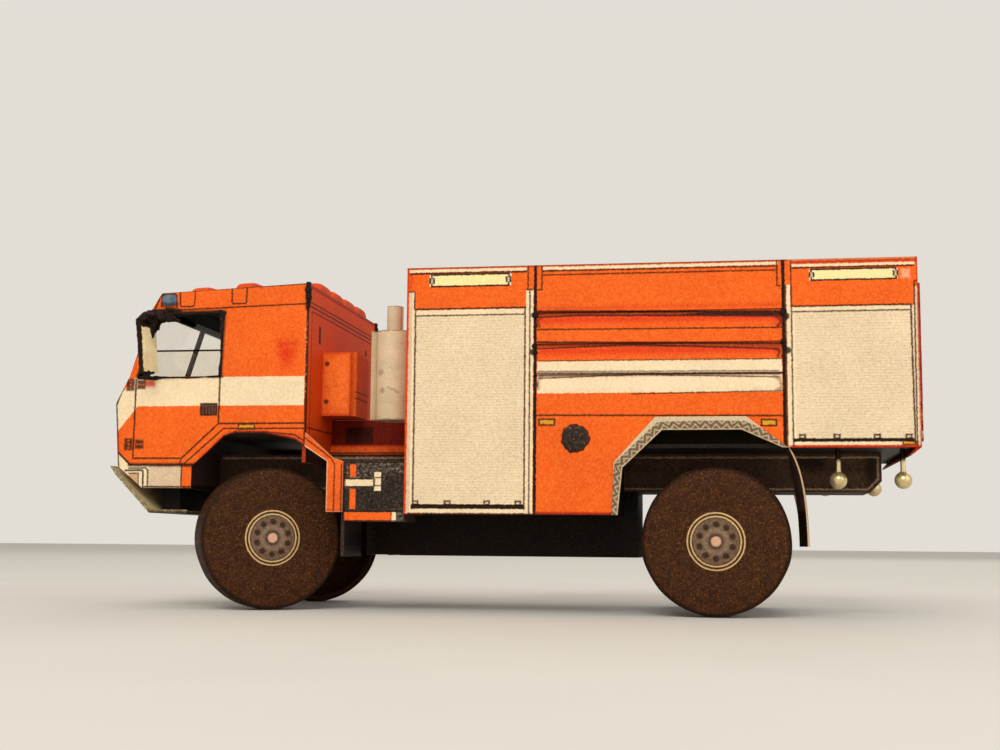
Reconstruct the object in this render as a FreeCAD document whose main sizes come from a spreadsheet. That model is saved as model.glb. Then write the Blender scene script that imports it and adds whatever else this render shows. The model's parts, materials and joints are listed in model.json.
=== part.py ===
"""Card model of a 4x4 water tanker fire truck, 1:87, as a parametric FreeCAD document.

X runs along the truck with the front at -X, Y across it with the left side at -Y, Z up from the ground.
The origin is on the ground, midway between the bumper and the tail lamps. Sizes are in millimetres.
"""
import FreeCAD, Part
import math
import os
import re

import Sketcher

# ---------------------------------------------------------------- driving sizes
SIZES = (
    ("length", 86.4, "bumper to tail lamps"),
    ("width", 29.3, "over the cab and body sides"),
    ("card", 0.4, "doubled card of the cab and body walls"),
    ("sheet", 0.25, "single card of flaps and folded strips"),
    ("play", 0.05, "radial running clearance on pins and spindles"),
    ("gap", 0.15, "free space between pieces that pass each other"),
    # wheels and axles
    ("wheel_radius", 7.7, "tyre outside"),
    ("wheel_width", 4.6, "tyre across"),
    ("tyre_wall", 0.7, "rolled tread band"),
    ("face_wall", 0.5, "disc on the outer face"),
    ("shoulder", 0.3, "bevel of the tyre edges"),
    ("hub_radius", 3.0, "printed wheel centre"),
    ("hub_tube", 1.35, "outside of the rolled hub"),
    ("hub_inner", 0.5, "rolled hub's end inboard of the wheel's middle"),
    ("spindle", 0.55, "wheel spindle radius"),
    ("wheel_inset", 0.3, "outer face of the wheel inside the body side"),
    ("front_overhang", 16.35, "bumper to front axle"),
    ("rear_overhang", 20.7, "rear axle to tail lamps"),
    ("king_offset", 2.0, "king pin inboard of the wheel's middle"),
    ("king_pin", 0.4, "king pin radius"),
    ("pin_proud", 0.25, "king pin above and below the axle's ears"),
    ("sleeve", 1.0, "outside of the knuckle sleeve"),
    ("sleeve_height", 2.8, "knuckle sleeve between the axle's ears"),
    ("spindle_root", 0.8, "spindle's start from the king pin, inside the sleeve"),
    ("collar", 0.3, "spindle's collar around the spindle"),
    ("collar_end", 1.25, "outer face of the spindle's collar from the king pin"),
    ("ear", 0.5, "thickness of the axle's ears"),
    ("axle_depth", 1.6, "front axle front to back"),
    ("axle_tube", 0.9, "rear axle radius"),
    ("axle_shoulder", 1.15, "rear axle tube's end inboard of the wheel's middle"),
    ("turned_left", 30.0, "left wheel's angle at rest, degrees"),
    ("turned_right", 24.0, "right wheel's angle at rest, degrees"),
    # chassis
    ("headroom", 1.85, "top of the rear tyre to the body's floor"),
    ("rail_height", 4.15, "frame below the body's floor"),
    ("rail_half", 4.5, "frame side from the middle"),
    ("rail_tail", 3.2, "tail lamps to the frame's end"),
    ("tail_cut", 1.2, "cut corner at the frame's end"),
    ("belly_bottom", 5.9, "underside of the belly box"),
    ("belly_top", 10.9, "top of the belly box"),
    ("belly_half", 4.0, "belly box side from the middle"),
    ("belly_front", 13.0, "belly box front end, from the origin"),
    ("belly_gap", 0.9, "belly box to rear tyre"),
    ("hanger", 2.3, "hanger block along the truck"),
    # cab
    ("cab_rear", 22.1, "bumper to the cab's rear wall"),
    ("roof_rear", 35.3, "roof height at the rear"),
    ("roof_front", 34.5, "roof height at the front"),
    ("visor", 5.3, "bumper to the roof's front edge"),
    ("brow", 4.3, "bumper to the top of the windscreen"),
    ("brow_height", 32.9, "top of the windscreen"),
    ("waist", 1.9, "bumper to the foot of the windscreen"),
    ("waist_height", 25.3, "foot of the windscreen"),
    ("nose", 0.4, "bumper to the nose"),
    ("nose_height", 22.3, "top of the nose"),
    ("nose_tuck", 0.5, "foot of the nose behind its top"),
    ("nose_foot", 15.4, "foot of the nose"),
    ("chin", 3.8, "bumper to the chin"),
    ("cab_bottom", 13.0, "underside of the cab"),
    ("arch_gap", 0.4, "front arch liner to the turning tyre"),
    ("arch_foot_height", 2.4, "upright foot of the front arch"),
    ("arch_shoulder", 2.4, "front arch foot to its upper corner, along the truck"),
    ("arch_drop", 1.5, "front arch's upper corner below its top"),
    ("arch_room", 3.6, "top of the front tyre to the top of its arch"),
    ("liner_back", 0.5, "front arch liner ahead of the arch foot"),
    ("window_bottom", 25.2, "side window sill"),
    ("window_top", 32.2, "side window top"),
    ("window_rear", 12.5, "bumper to the side window's rear edge"),
    ("wall_clear", 0.4, "front tyre's top to the foot of the cab's rear wall"),
    ("pillar", 0.95, "front pillar"),
    ("screen_side", 1.5, "windscreen to the cab side"),
    ("screen_edge", 0.5, "windscreen to its upper and lower edges"),
    ("screen_post", 0.7, "post between the windscreen's panes"),
    ("film", 0.2, "window film"),
    ("lap", 0.4, "glued edge of the window film"),
    ("glass_top", 28.2, "top edge of the side film"),
    ("rib_height", 0.75, "roof ribs along the truck"),
    ("rib_width", 4.2, "roof rib's foot"),
    ("rib_pitch", 5.2, "roof rib to the next"),
    ("rib_length", 6.8, "roof ribs along the truck, from the rear wall"),
    ("bow_height", 1.5, "roof bows across the truck"),
    ("bow_width", 1.8, "roof bow's foot"),
    ("bow_inset", 3.75, "roof bow's end inside the cab wall"),
    ("bow_front", 8.7, "bumper to the first roof bow's middle"),
    ("bow_rear", 13.9, "bumper to the second roof bow's middle"),
    ("fold", 0.5, "slope of a rib's or bow's side"),
    ("mirror_set", 4.6, "bumper to the mirror"),
    ("mirror_reach", 3.15, "mirror's outer edge outside the cab"),
    ("mirror_width", 2.85, "mirror across"),
    ("mirror_turn", 16.0, "mirror's outer edge turned forward, degrees"),
    ("mirror_low", 25.4, "mirror's lower edge"),
    ("mirror_high", 31.2, "mirror's upper edge"),
    ("arm_height", 0.7, "mirror arm"),
    ("arm_depth", 1.5, "mirror arm along the truck"),
    ("fender_foot", 10.5, "bottom of the strip behind the front wheel"),
    ("fender_width", 1.8, "strip along the truck"),
    ("fender_knee", 15.9, "top of the strip"),
    ("fender_gap", 0.55, "front tyre to the strip, wheels straight"),
    ("bumper_card", 0.35, "bumper card"),
    ("bumper_lip", 1.0, "upright lip of the bumper"),
    ("bumper_bottom", 10.3, "underside of the bumper"),
    ("bumper_rake", 4.0, "bumper's slope along the truck"),
    ("bumper_return", 0.35, "end of the bumper's lower plate behind the front of the tyre"),
    ("bumper_notch", 0.4, "bumper's wheel notches to the turning tyres"),
    ("notch_lip", 0.4, "bumper plate left outside the wheel notch"),
    ("valance_inset", 2.65, "end of the bumper's black carrier inside the cab's side"),
    ("flap_gap", 1.0, "turning front tyre to its mudflap"),
    ("flap_width", 7.0, "front mudflap across"),
    ("flap_foot", 5.8, "bottom of the front mudflap"),
    ("flap_inset", 0.5, "mudflaps inside the truck's side"),
    ("air_depth", 3.85, "air box along the truck"),
    ("air_out", 8.8, "air box's outer face from the middle"),
    ("air_width", 5.6, "air box across"),
    ("air_clear", 0.15, "air box above the pump cover"),
    ("air_top", 28.5, "top of the air box"),
    ("air_bevel", 0.6, "air box's bevelled corner"),
    # between cab and body
    ("deck_height", 1.05, "deck beam above the body's floor"),
    ("deck_half", 4.7, "deck beam's side from the middle"),
    ("pump_height", 2.85, "pump cover above the deck beam"),
    ("pump_half", 4.4, "pump cover's side from the middle"),
    ("step_bottom", 9.55, "underside of the step box"),
    ("step_top", 15.9, "top of the step box"),
    ("step_depth", 5.6, "step box across"),
    ("silencer_radius", 2.0, "silencer tube"),
    ("silencer_inset", 3.0, "silencer's middle inside the body's side"),
    ("silencer_bottom", 20.4, "bottom of the silencer"),
    ("silencer_top", 30.2, "top of the silencer"),
    ("pipe_radius", 0.93, "exhaust pipe"),
    ("pipe_top", 33.0, "top of the exhaust pipe"),
    # superstructure
    ("body_front", 33.1, "bumper to the body"),
    ("lamp_proud", 0.23, "tail lamps behind the body"),
    ("body_top", 36.67, "top of the body"),
    ("skirt", 10.34, "bottom of the body's lockers"),
    ("locker_gap", 1.25, "lockers to the frame's side"),
    ("rear_arch_foot", 2.3, "arch foot ahead of the rear tyre"),
    ("rear_arch_knee", 15.2, "height of the arch's front knee"),
    ("rear_arch_slope", 4.1, "arch's front slope along the truck"),
    ("rear_arch_flat", 8.1, "arch's flat top along the truck"),
    ("rear_arch_rise", 1.85, "arch top above the body's rear bottom"),
    ("trim", 1.45, "width of the arch trim's top"),
    ("trim_foot", 0.6, "width of the arch trim's foot"),
    ("trim_mitre", 1.0, "arch trim's front corner ahead of the arch's"),
    ("trim_card", 0.15, "arch trim card"),
    ("foot_lean", 0.5, "lean of the arch's upright edge"),
    ("bay_front", 13.8, "front locker bay along the truck"),
    ("bay_rear", 13.45, "rear locker bay along the truck"),
    ("slat_depth", 0.28, "depth of the side's pressed slats"),
    ("slat_height", 1.5, "height of a slat"),
    ("slat_low", 23.5, "lowest slat's foot"),
    ("slat_middle", 26.74, "middle slat's foot"),
    ("slat_high", 30.1, "highest slat's foot"),
    ("cap_radius", 1.45, "filler cap"),
    ("cap_proud", 0.5, "filler cap outside the side"),
    ("cap_place", 14.3, "rear axle to the filler cap"),
    ("cap_height", 18.3, "filler cap's middle"),
    ("rear_flap_gap", 1.55, "rear tyre to its mudflap"),
    ("rear_flap_curve", 1.9, "mudflap's top ahead of its foot"),
    ("rear_flap_bend", 3.8, "mudflap's curve below the floor"),
    ("rear_flap_width", 4.6, "rear mudflap across"),
    ("rear_flap_foot", 7.2, "bottom of the rear mudflap"),
    ("ball", 0.85, "pin head's radius"),
    ("pin_wire", 0.3, "pin's wire radius"),
    ("pin_inset", 3.65, "pins inside the body's side"),
    ("pin_height", 14.1, "middle of the pin heads"),
    ("pin_rear", 1.7, "tail lamps to the rear pin"),
    ("pin_pitch", 6.5, "front pin to rear pin"),
    ("lamp_rise", 0.65, "tail lamps above the body's floor"),
    ("lamp_height", 3.8, "tail lamp's height"),
    ("lamp_width", 1.4, "tail lamp across"),
    ("lamp_inset", 0.35, "tail lamp inside the body's side"),
    ("tail_flap", 1.0, "folded flap under the body's rear, along the truck"),
    ("tail_flap_drop", 0.8, "folded flap's lower edge under the floor"),
)
ALIASES = {alias for alias, value, note in SIZES}

doc = FreeCAD.newDocument("card_tanker")
sizes = doc.addObject("Spreadsheet::Sheet", "Sizes")
for row, (alias, value, note) in enumerate(SIZES, 1):
    sizes.set(f"A{row}", alias)
    sizes.set(f"B{row}", str(value))
    sizes.set(f"C{row}", note)
    sizes.setAlias(f"B{row}", alias)
doc.recompute()

PARTS = []


# ---------------------------------------------------------------- ways of making card pieces
def cells(text):
    """An expression with each size's name replaced by its cell."""
    return re.sub(r"[a-z_]+", lambda word: "Sizes." + word[0] if word[0] in ALIASES else word[0], text)


def place(thing, corner, turn="0"):
    """Bind a piece's place, and its turn about the vertical."""
    for axis, text in zip("xyz", corner):
        thing.setExpression("Placement.Base." + axis, cells(text))
    if turn != "0":
        thing.Placement = FreeCAD.Placement(FreeCAD.Vector(), FreeCAD.Vector(0, 0, 1), 1)
        thing.setExpression("Placement.Rotation.Angle", cells(turn) + " * 1 deg")


def keep(thing, label):
    """Name a finished sub-part."""
    thing.Label = label
    PARTS.append(thing)


def outline(body, name, plane, loops):
    """A sketch of closed outlines, each corner tied to the origin by two bound lengths."""
    sketch = body.newObject("Sketcher::SketchObject", name)
    base = [feature for feature in body.Origin.OriginFeatures if feature.Role == plane + "_Plane"][0]
    sketch.AttachmentSupport = [(base, "")]
    sketch.MapMode = "FlatFace"
    for loop in loops:
        count = len(loop)
        first = sketch.GeometryCount
        angles = [2 * math.pi * corner / count for corner in range(count)]
        start = [FreeCAD.Vector(math.cos(angle), math.sin(angle), 0) for angle in angles]
        sides = [Part.LineSegment(start[corner - 1], start[corner]) for corner in range(count)]
        sketch.addGeometry(sides, False)
        for corner, (across, up) in enumerate(loop):
            line = first + corner
            sketch.addConstraint(Sketcher.Constraint("Coincident", line, 2, first + (corner + 1) % count, 1))
            tied = (("DistanceX", start[corner - 1].x, across), ("DistanceY", start[corner - 1].y, up))
            for kind, value, text in tied:
                index = sketch.addConstraint(Sketcher.Constraint(kind, -1, 1, line, 1, value))
                sketch.setExpression(f"Constraints[{index}]", cells(text))
    return sketch


def cut_card(name, plane, loops, thickness, corner=("0", "0", "0")):
    """A piece cut from flat card: an outline padded by the card's thickness."""
    body = doc.addObject("PartDesign::Body", name)
    pad = body.newObject("PartDesign::Pad", name + "_pad")
    pad.Profile = outline(body, name + "_outline", plane, loops)
    pad.setExpression("Length", cells(thickness))
    body.Tip = pad
    place(body, corner)
    return body


def pocket(body, name, plane, loops):
    """Cut outlines right through a piece."""
    cut = body.newObject("PartDesign::Pocket", name)
    cut.Profile = outline(body, name + "_outline", plane, loops)
    cut.Type = "ThroughAll"
    cut.Midplane = True
    body.Tip = cut


def rolled(name, profiles, corner, turn="0"):
    """A piece rolled from card: outlines of (radius, distance across) turned about Y."""
    body = doc.addObject("PartDesign::Body", name)
    for index, loop in enumerate(profiles):
        turned = body.newObject("PartDesign::Revolution", f"{name}_turn{index}")
        sketch = outline(body, f"{name}_profile{index}", "XY", [loop])
        turned.Profile = sketch
        turned.ReferenceAxis = (sketch, ["V_Axis"])
        turned.Angle = 360
        body.Tip = turned
    place(body, corner, turn)
    return body


def block(name, sides, corner, turn="0"):
    """A folded card box."""
    box = doc.addObject("Part::Box", name)
    for side, text in zip(("Length", "Width", "Height"), sides):
        box.setExpression(side, cells(text))
    place(box, corner, turn)
    return box


def tube(name, radius, height, foot, along="z"):
    """A rolled tube or a wire, along Z or Y."""
    rod = doc.addObject("Part::Cylinder", name)
    rod.setExpression("Radius", cells(radius))
    rod.setExpression("Height", cells(height))
    if along == "y":
        rod.Placement = FreeCAD.Placement(FreeCAD.Vector(), FreeCAD.Vector(1, 0, 0), -90)
    place(rod, foot)
    return rod


def joined(name, pieces):
    """Pieces glued into one solid."""
    fuse = doc.addObject("Part::MultiFuse", name)
    fuse.Shapes = pieces
    return fuse


def grouped(name, pieces):
    """Like pieces that don't touch, kept under one name."""
    group = doc.addObject("Part::Compound", name)
    group.Links = pieces
    return group


def less(name, base, tool):
    """One piece with another cut out of it."""
    cut = doc.addObject("Part::Cut", name)
    cut.Base = base
    cut.Tool = tool
    return cut


SIDES = (("left", "-1", "turned_left"), ("right", "1", "turned_right"))

# Places that several pieces share, as expressions
FRONT = "(-length / 2)"
REAR = "(length / 2 - lamp_proud)"
FRONT_AXLE = "(-length / 2 + front_overhang)"
REAR_AXLE = "(length / 2 - rear_overhang)"
CAB_REAR = "(-length / 2 + cab_rear)"
BODY_FRONT = "(-length / 2 + body_front)"
FACE = "(width / 2 - wheel_inset)"
WHEEL_MIDDLE = "(width / 2 - wheel_inset - wheel_width / 2)"
PIN = "(width / 2 - wheel_inset - wheel_width / 2 - king_offset)"
INSIDE = "(width / 2 - card)"
EAR_TOP = "(sleeve_height / 2 + play)"
FLOOR = "(2 * wheel_radius + headroom)"
FRAME_FOOT = "(2 * wheel_radius + headroom - rail_height)"
ARCH_TOP = "(2 * wheel_radius + arch_room)"
DECK_TOP = "(2 * wheel_radius + headroom + deck_height)"
LOCKER = f"({INSIDE} - rail_half - locker_gap)"
# How far a tyre's corner swings from its king pin, over all heights and at the cab's underside
SWING = "sqrt(wheel_radius^2 + (king_offset + wheel_width / 2)^2)"
LOW_SWING = f"sqrt({SWING}^2 - (cab_bottom - wheel_radius)^2)"


def side_place(side):
    """Y of an upright side panel, whose pad runs towards -Y."""
    return "-width / 2 + card" if side == "left" else "width / 2"


# ---------------------------------------------------------------- wheels, knuckles and axles
def wheel(label, corner, hand, turn, pin_offset):
    """A rolled tread band with a face disc, and a hub disc on a rolled bore tube. Y is 0 at the pin."""
    def across(text):
        return f"({hand}) * ({pin_offset} + {text})"
    outer, inner = across("wheel_width / 2"), across("-wheel_width / 2")
    tyre = (("hub_radius", outer), ("wheel_radius - shoulder", outer),
            ("wheel_radius", across("wheel_width / 2 - shoulder")),
            ("wheel_radius", inner), ("wheel_radius - tyre_wall", inner),
            ("wheel_radius - tyre_wall", across("wheel_width / 2 - face_wall")),
            ("hub_radius", across("wheel_width / 2 - face_wall")))
    back, end = across("wheel_width / 2 - face_wall"), across("-hub_inner")
    hub = (("spindle + play", outer), ("hub_radius", outer), ("hub_radius", back), ("hub_tube", back),
           ("hub_tube", end), ("spindle + play", end))
    keep(rolled(label + "_tyre", [tyre], corner, turn), label + "_tyre")
    keep(rolled(label + "_wheel", [hub], corner, turn), label + "_wheel")


def knuckle(side, hand, turn):
    """A rolled sleeve on the king pin, with the wheel's spindle and its collar."""
    label = "knuckle_" + side
    corner = (FRONT_AXLE, f"({hand}) * {PIN}", "wheel_radius")
    body = doc.addObject("PartDesign::Body", label)
    start, step = f"({hand}) * spindle_root", f"({hand}) * collar_end"
    end = f"({hand}) * (king_offset + wheel_width / 2)"
    spindle = (("0", start), ("spindle + collar", start), ("spindle + collar", step), ("spindle", step),
               ("spindle", end), ("0", end))
    sleeve = (("king_pin + play", "-sleeve_height / 2"), ("sleeve", "-sleeve_height / 2"),
              ("sleeve", "sleeve_height / 2"), ("king_pin + play", "sleeve_height / 2"))
    for name, plane, loop in (("sleeve", "XZ", sleeve), ("spindle", "XY", spindle)):
        turned = body.newObject("PartDesign::Revolution", f"{label}_{name}")
        sketch = outline(body, f"{label}_{name}_profile", plane, [loop])
        turned.Profile = sketch
        turned.ReferenceAxis = (sketch, ["V_Axis"])
        turned.Angle = 360
        body.Tip = turned
    place(body, corner, turn)
    keep(body, label)


for side, hand, turn in SIDES:
    corner = (FRONT_AXLE, f"({hand}) * {PIN}", "wheel_radius")
    wheel("front_" + side, corner, hand, turn, "king_offset")
    knuckle(side, hand, turn)
    wheel("rear_" + side, (REAR_AXLE, f"({hand}) * {WHEEL_MIDDLE}", "wheel_radius"), hand, "0", "0")

# The front axle is a strip of laminated card with a fork for each knuckle, and a wire king pin in each fork
fork = ((f"{PIN} + sleeve", f"{EAR_TOP} + ear"), (f"{PIN} + sleeve", EAR_TOP),
        (f"{PIN} - sleeve - gap", EAR_TOP), (f"{PIN} - sleeve - gap", f"-{EAR_TOP}"),
        (f"{PIN} + sleeve", f"-{EAR_TOP}"), (f"{PIN} + sleeve", f"-{EAR_TOP} - ear"))
far_fork = tuple((f"-({across})", up) for across, up in reversed(fork))
axle = cut_card("front_axle_beam", "YZ", [fork + far_fork], "axle_depth",
                (f"{FRONT_AXLE} - axle_depth / 2", "0", "wheel_radius"))
bores = joined("king_pin_bores", [
    tube("king_pin_bore_" + side, "king_pin", "2 * wheel_radius", (FRONT_AXLE, f"({hand}) * {PIN}", "0"))
    for side, hand, turn in SIDES])
keep(less("front_axle_bored", axle, bores), "front_axle")
pin_length = f"(2 * ({EAR_TOP} + ear + pin_proud))"
keep(grouped("king_pins_pair", [
    tube("king_pin_" + side, "king_pin", pin_length,
         (FRONT_AXLE, f"({hand}) * {PIN}", f"wheel_radius - {pin_length} / 2"))
    for side, hand, turn in SIDES]), "king_pins")

# The rear axle is a rolled tube on a thin stick, whose ends carry the wheels
SHOULDER = f"({WHEEL_MIDDLE} - axle_shoulder)"
rear_axle_profile = (("0", f"-{FACE}"), ("spindle", f"-{FACE}"), ("spindle", f"-{SHOULDER}"),
                     ("axle_tube", f"-{SHOULDER}"), ("axle_tube", SHOULDER), ("spindle", SHOULDER),
                     ("spindle", FACE), ("0", FACE))
keep(rolled("rear_axle_stick", [rear_axle_profile], (REAR_AXLE, "0", "wheel_radius")), "rear_axle")

# ---------------------------------------------------------------- chassis
RAIL_END = "(length / 2 - rail_tail)"
LINER = f"({FRONT_AXLE} - {LOW_SWING} - arch_gap)"
frame_loop = ((LINER, FRAME_FOOT), (f"{RAIL_END} - tail_cut", FRAME_FOOT),
              (RAIL_END, f"{FRAME_FOOT} + tail_cut"), (RAIL_END, FLOOR), (LINER, FLOOR))
frame = cut_card("chassis_box", "XZ", [frame_loop], "2 * rail_half", ("0", "rail_half", "0"))
pocket(frame, "chassis_hollow", "YZ", [(
    ("-rail_half + card", f"{FRAME_FOOT} + card"), ("rail_half - card", f"{FRAME_FOOT} + card"),
    ("rail_half - card", f"{FLOOR} - card"), ("-rail_half + card", f"{FLOOR} - card"))])
keep(frame, "chassis_frame")

BELLY_END = f"({REAR_AXLE} - wheel_radius - belly_gap)"
keep(block("belly_box", (f"{BELLY_END} + belly_front", "2 * belly_half", "belly_top - belly_bottom"),
           ("-belly_front", "-belly_half", "belly_bottom")), "belly_box")
hanger_sizes = ("hanger", "2 * belly_half", f"{FRAME_FOOT} - belly_top")
keep(grouped("hangers_pair", [
    block("hanger_front", hanger_sizes, ("-belly_front", "-belly_half", "belly_top")),
    block("hanger_rear", hanger_sizes, (f"{BELLY_END} - hanger", "-belly_half", "belly_top"))]),
    "belly_hangers")
saddle_sizes = ("2 * axle_tube + 4 * card", "2 * belly_half",
                f"{FRAME_FOOT} - wheel_radius + axle_tube + card")
saddle_corner = (f"{REAR_AXLE} - axle_tube - 2 * card", "-belly_half", "wheel_radius - axle_tube - card")
keep(less("rear_saddle_bored", block("rear_saddle_block", saddle_sizes, saddle_corner),
          tube("rear_saddle_bore", "axle_tube", "width", (REAR_AXLE, "-width / 2", "wheel_radius"), "y")),
     "rear_axle_saddle")
AXLE_TOP = f"(wheel_radius + {EAR_TOP} + ear)"
keep(block("front_saddle_block", ("axle_depth", "2 * belly_half", f"{FRAME_FOOT} - {AXLE_TOP}"),
           (f"{FRONT_AXLE} - axle_depth / 2", "-belly_half", AXLE_TOP)), "front_axle_saddle")

# ---------------------------------------------------------------- cab
ARCH_FOOT = f"({LINER} + liner_back)"
ARCH_CORNER = f"({ARCH_FOOT} + arch_shoulder)"
ARCH = ((ARCH_FOOT, "cab_bottom + arch_foot_height"), (ARCH_CORNER, f"{ARCH_TOP} - arch_drop"),
        (f"({ARCH_CORNER} + arch_shoulder / 2)", f"{ARCH_TOP} - arch_drop / 4"),
        (f"({ARCH_CORNER} + arch_shoulder)", ARCH_TOP), (f"{CAB_REAR} - arch_shoulder * 2", ARCH_TOP),
        (f"{CAB_REAR} - arch_shoulder / 2", f"{ARCH_TOP} - arch_drop / 2"),
        (CAB_REAR, f"{ARCH_TOP} - arch_drop"))
NOSE = ((f"{FRONT} + chin", "cab_bottom"), (f"{FRONT} + nose + nose_tuck", "nose_foot"),
        (f"{FRONT} + nose", "nose_height"), (f"{FRONT} + waist", "waist_height"),
        (f"{FRONT} + brow", "brow_height"), (f"{FRONT} + visor", "roof_front"))
window = ((f"{FRONT} + waist + pillar", "window_bottom"), (f"{FRONT} + brow + pillar", "window_top"),
          (f"{FRONT} + window_rear", "window_top"), (f"{FRONT} + window_rear", "window_bottom"))
cab_side = NOSE + ((CAB_REAR, "roof_rear"),) + tuple(reversed(ARCH)) + ((ARCH_FOOT, "cab_bottom"),)
for side, hand, turn in SIDES:
    keep(cut_card("cab_side_" + side, "XZ", [cab_side, window], "card", ("0", side_place(side), "0")),
         "cab_side_" + side)

inner_nose = tuple((f"{across} + card", up) for across, up in reversed(NOSE[1:]))
strip = NOSE + inner_nose + ((f"{FRONT} + chin + card", "cab_bottom + card"),
                             (LINER, "cab_bottom + card"), (LINER, "cab_bottom"))
front = cut_card("cab_front_strip", "XZ", [strip], f"2 * {INSIDE}", ("0", INSIDE, "0"))


def screen_pane(hand):
    """Outline of one windscreen pane, measured from the strip's right end."""
    inner = f"({hand}) * screen_post / 2 - {INSIDE}"
    outer = f"({hand}) * ({INSIDE} - screen_side) - {INSIDE}"
    low, high = "waist_height + screen_edge", "brow_height - screen_edge"
    return ((inner, low), (outer, low), (outer, high), (inner, high))


pocket(front, "windscreen_cut", "YZ", [screen_pane(hand) for side, hand, turn in SIDES])
keep(front, "cab_front")

SLOPE = "((roof_rear - roof_front) / (cab_rear - visor))"


def roof_at(distance):
    """Height of the roof at a distance behind the bumper."""
    return f"(roof_front + {SLOPE} * ({distance} - visor))"


roof_loop = ((f"{FRONT} + visor + card", "roof_front"), (CAB_REAR, "roof_rear"),
             (CAB_REAR, "roof_rear - card"), (f"{FRONT} + visor + card", "roof_front - card"))
keep(cut_card("cab_roof_sheet", "XZ", [roof_loop], f"2 * {INSIDE}", ("0", INSIDE, "0")), "cab_roof")
# The rear wall comes down beside the frame, over the front tyres' rear edges
WALL_FOOT = "(2 * wheel_radius + wall_clear)"
wall_top = f"{roof_at('cab_rear - card')} - card"
rear_wall = ((f"-{INSIDE}", WALL_FOOT), ("-rail_half", WALL_FOOT), ("-rail_half", FLOOR),
             ("rail_half", FLOOR), ("rail_half", WALL_FOOT), (INSIDE, WALL_FOOT),
             (INSIDE, wall_top), (f"-{INSIDE}", wall_top))
keep(cut_card("cab_rear_sheet", "YZ", [rear_wall], "card", (f"{CAB_REAR} - card", "0", "0")),
     "cab_rear_wall")

# The cab's floor is a strip folded down ahead of the front wheels, where it meets the end of the frame
floor_loop = ((f"{LINER} - card", "cab_bottom + card"), (LINER, "cab_bottom + card"), (LINER, ARCH_TOP),
              (f"{CAB_REAR} - card", ARCH_TOP), (f"{CAB_REAR} - card", f"{ARCH_TOP} + card"),
              (f"{LINER} - card", f"{ARCH_TOP} + card"))
keep(cut_card("cab_floor_strip", "XZ", [floor_loop], f"2 * {INSIDE}", ("0", INSIDE, "0")), "cab_floor")

# Clear film is glued inside the windscreen and the lower half of each side window
screen = ((f"{FRONT} + waist + card", "waist_height"), (f"{FRONT} + brow + card", "brow_height"),
          (f"{FRONT} + brow + card + film", "brow_height"),
          (f"{FRONT} + waist + card + film", "waist_height"))
keep(cut_card("windscreen_sheet", "XZ", [screen], f"2 * ({INSIDE} - screen_side + lap)",
              ("0", f"{INSIDE} - screen_side + lap", "0")), "windscreen_film")
LEAN = "((brow - waist) / (window_top - window_bottom))"
pane = ((f"{FRONT} + waist + pillar - lap", "window_bottom - lap"),
        (f"{FRONT} + waist + pillar - lap + {LEAN} * (glass_top - window_bottom)", "glass_top"),
        (f"{FRONT} + window_rear + lap", "glass_top"),
        (f"{FRONT} + window_rear + lap", "window_bottom - lap"))
keep(grouped("side_films_pair", [
    cut_card("side_film_left", "XZ", [pane], "film", ("0", f"-{INSIDE} + film", "0")),
    cut_card("side_film_right", "XZ", [pane], "film", ("0", INSIDE, "0"))]), "side_window_films")

# The roof carries two folded bows across and four folded ribs along its rear half
def bow(name, middle):
    """A folded bow across the roof."""
    low, high = f"({middle} - bow_width / 2)", f"({middle} + bow_width / 2)"
    loop = ((f"{FRONT} + {low}", roof_at(low)), (f"{FRONT} + {high}", roof_at(high)),
            (f"{FRONT} + {high} - fold", f"{roof_at(high)} + bow_height"),
            (f"{FRONT} + {low} + fold", f"{roof_at(low)} + bow_height"))
    half = f"({INSIDE} - bow_inset)"
    return cut_card(name, "XZ", [loop], f"2 * {half}", ("0", half, "0"))


def rib(name, middle):
    """A folded rib along the rear of the roof, cut to the roof's slope."""
    start = "(cab_rear - rib_length)"
    loop = ((f"{FRONT} + {start}", roof_at(start)), (CAB_REAR, "roof_rear"),
            (CAB_REAR, "roof_rear + rib_height / 2"),
            (f"{CAB_REAR} - fold", "roof_rear + rib_height"),
            (f"{FRONT} + {start} + fold", f"{roof_at(start)} + rib_height"))
    return cut_card(name, "XZ", [loop], "rib_width", ("0", f"{middle} + rib_width / 2", "0"))


bows = [bow("roof_bow_front", "bow_front"), bow("roof_bow_rear", "bow_rear")]
ribs = [rib(f"roof_rib_{index}", f"({index} - 1.5) * rib_pitch") for index in range(4)]
keep(grouped("roof_ribs_group", bows + ribs), "roof_ribs")

# A mirror is a plate hung from a bent arm on the front pillar
def mirror(side, hand):
    """Arm and plate of one mirror, the plate's outer edge turned forward."""
    arm = "-width / 2 - mirror_reach" if side == "left" else "width / 2"
    plate = (f"{arm} + bumper_card * sin(mirror_turn)" if side == "left" else
             f"{arm} + mirror_reach - mirror_width")
    middle = f"{FRONT} + mirror_set"
    lead = f"({hand}) * mirror_width / 2 * sin(mirror_turn)"
    return joined("mirror_" + side, [
        block(f"mirror_{side}_arm", ("arm_depth", "mirror_reach", "arm_height"),
              (f"{middle} - arm_depth / 2", arm, "mirror_high")),
        block(f"mirror_{side}_plate", ("bumper_card", "mirror_width", "mirror_high - mirror_low"),
              (f"{middle} - bumper_card / 2 + {lead}", plate, "mirror_low"), f"({hand}) * mirror_turn")])


keep(grouped("mirrors_pair", [mirror(side, hand) for side, hand, turn in SIDES]), "mirrors")

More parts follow.
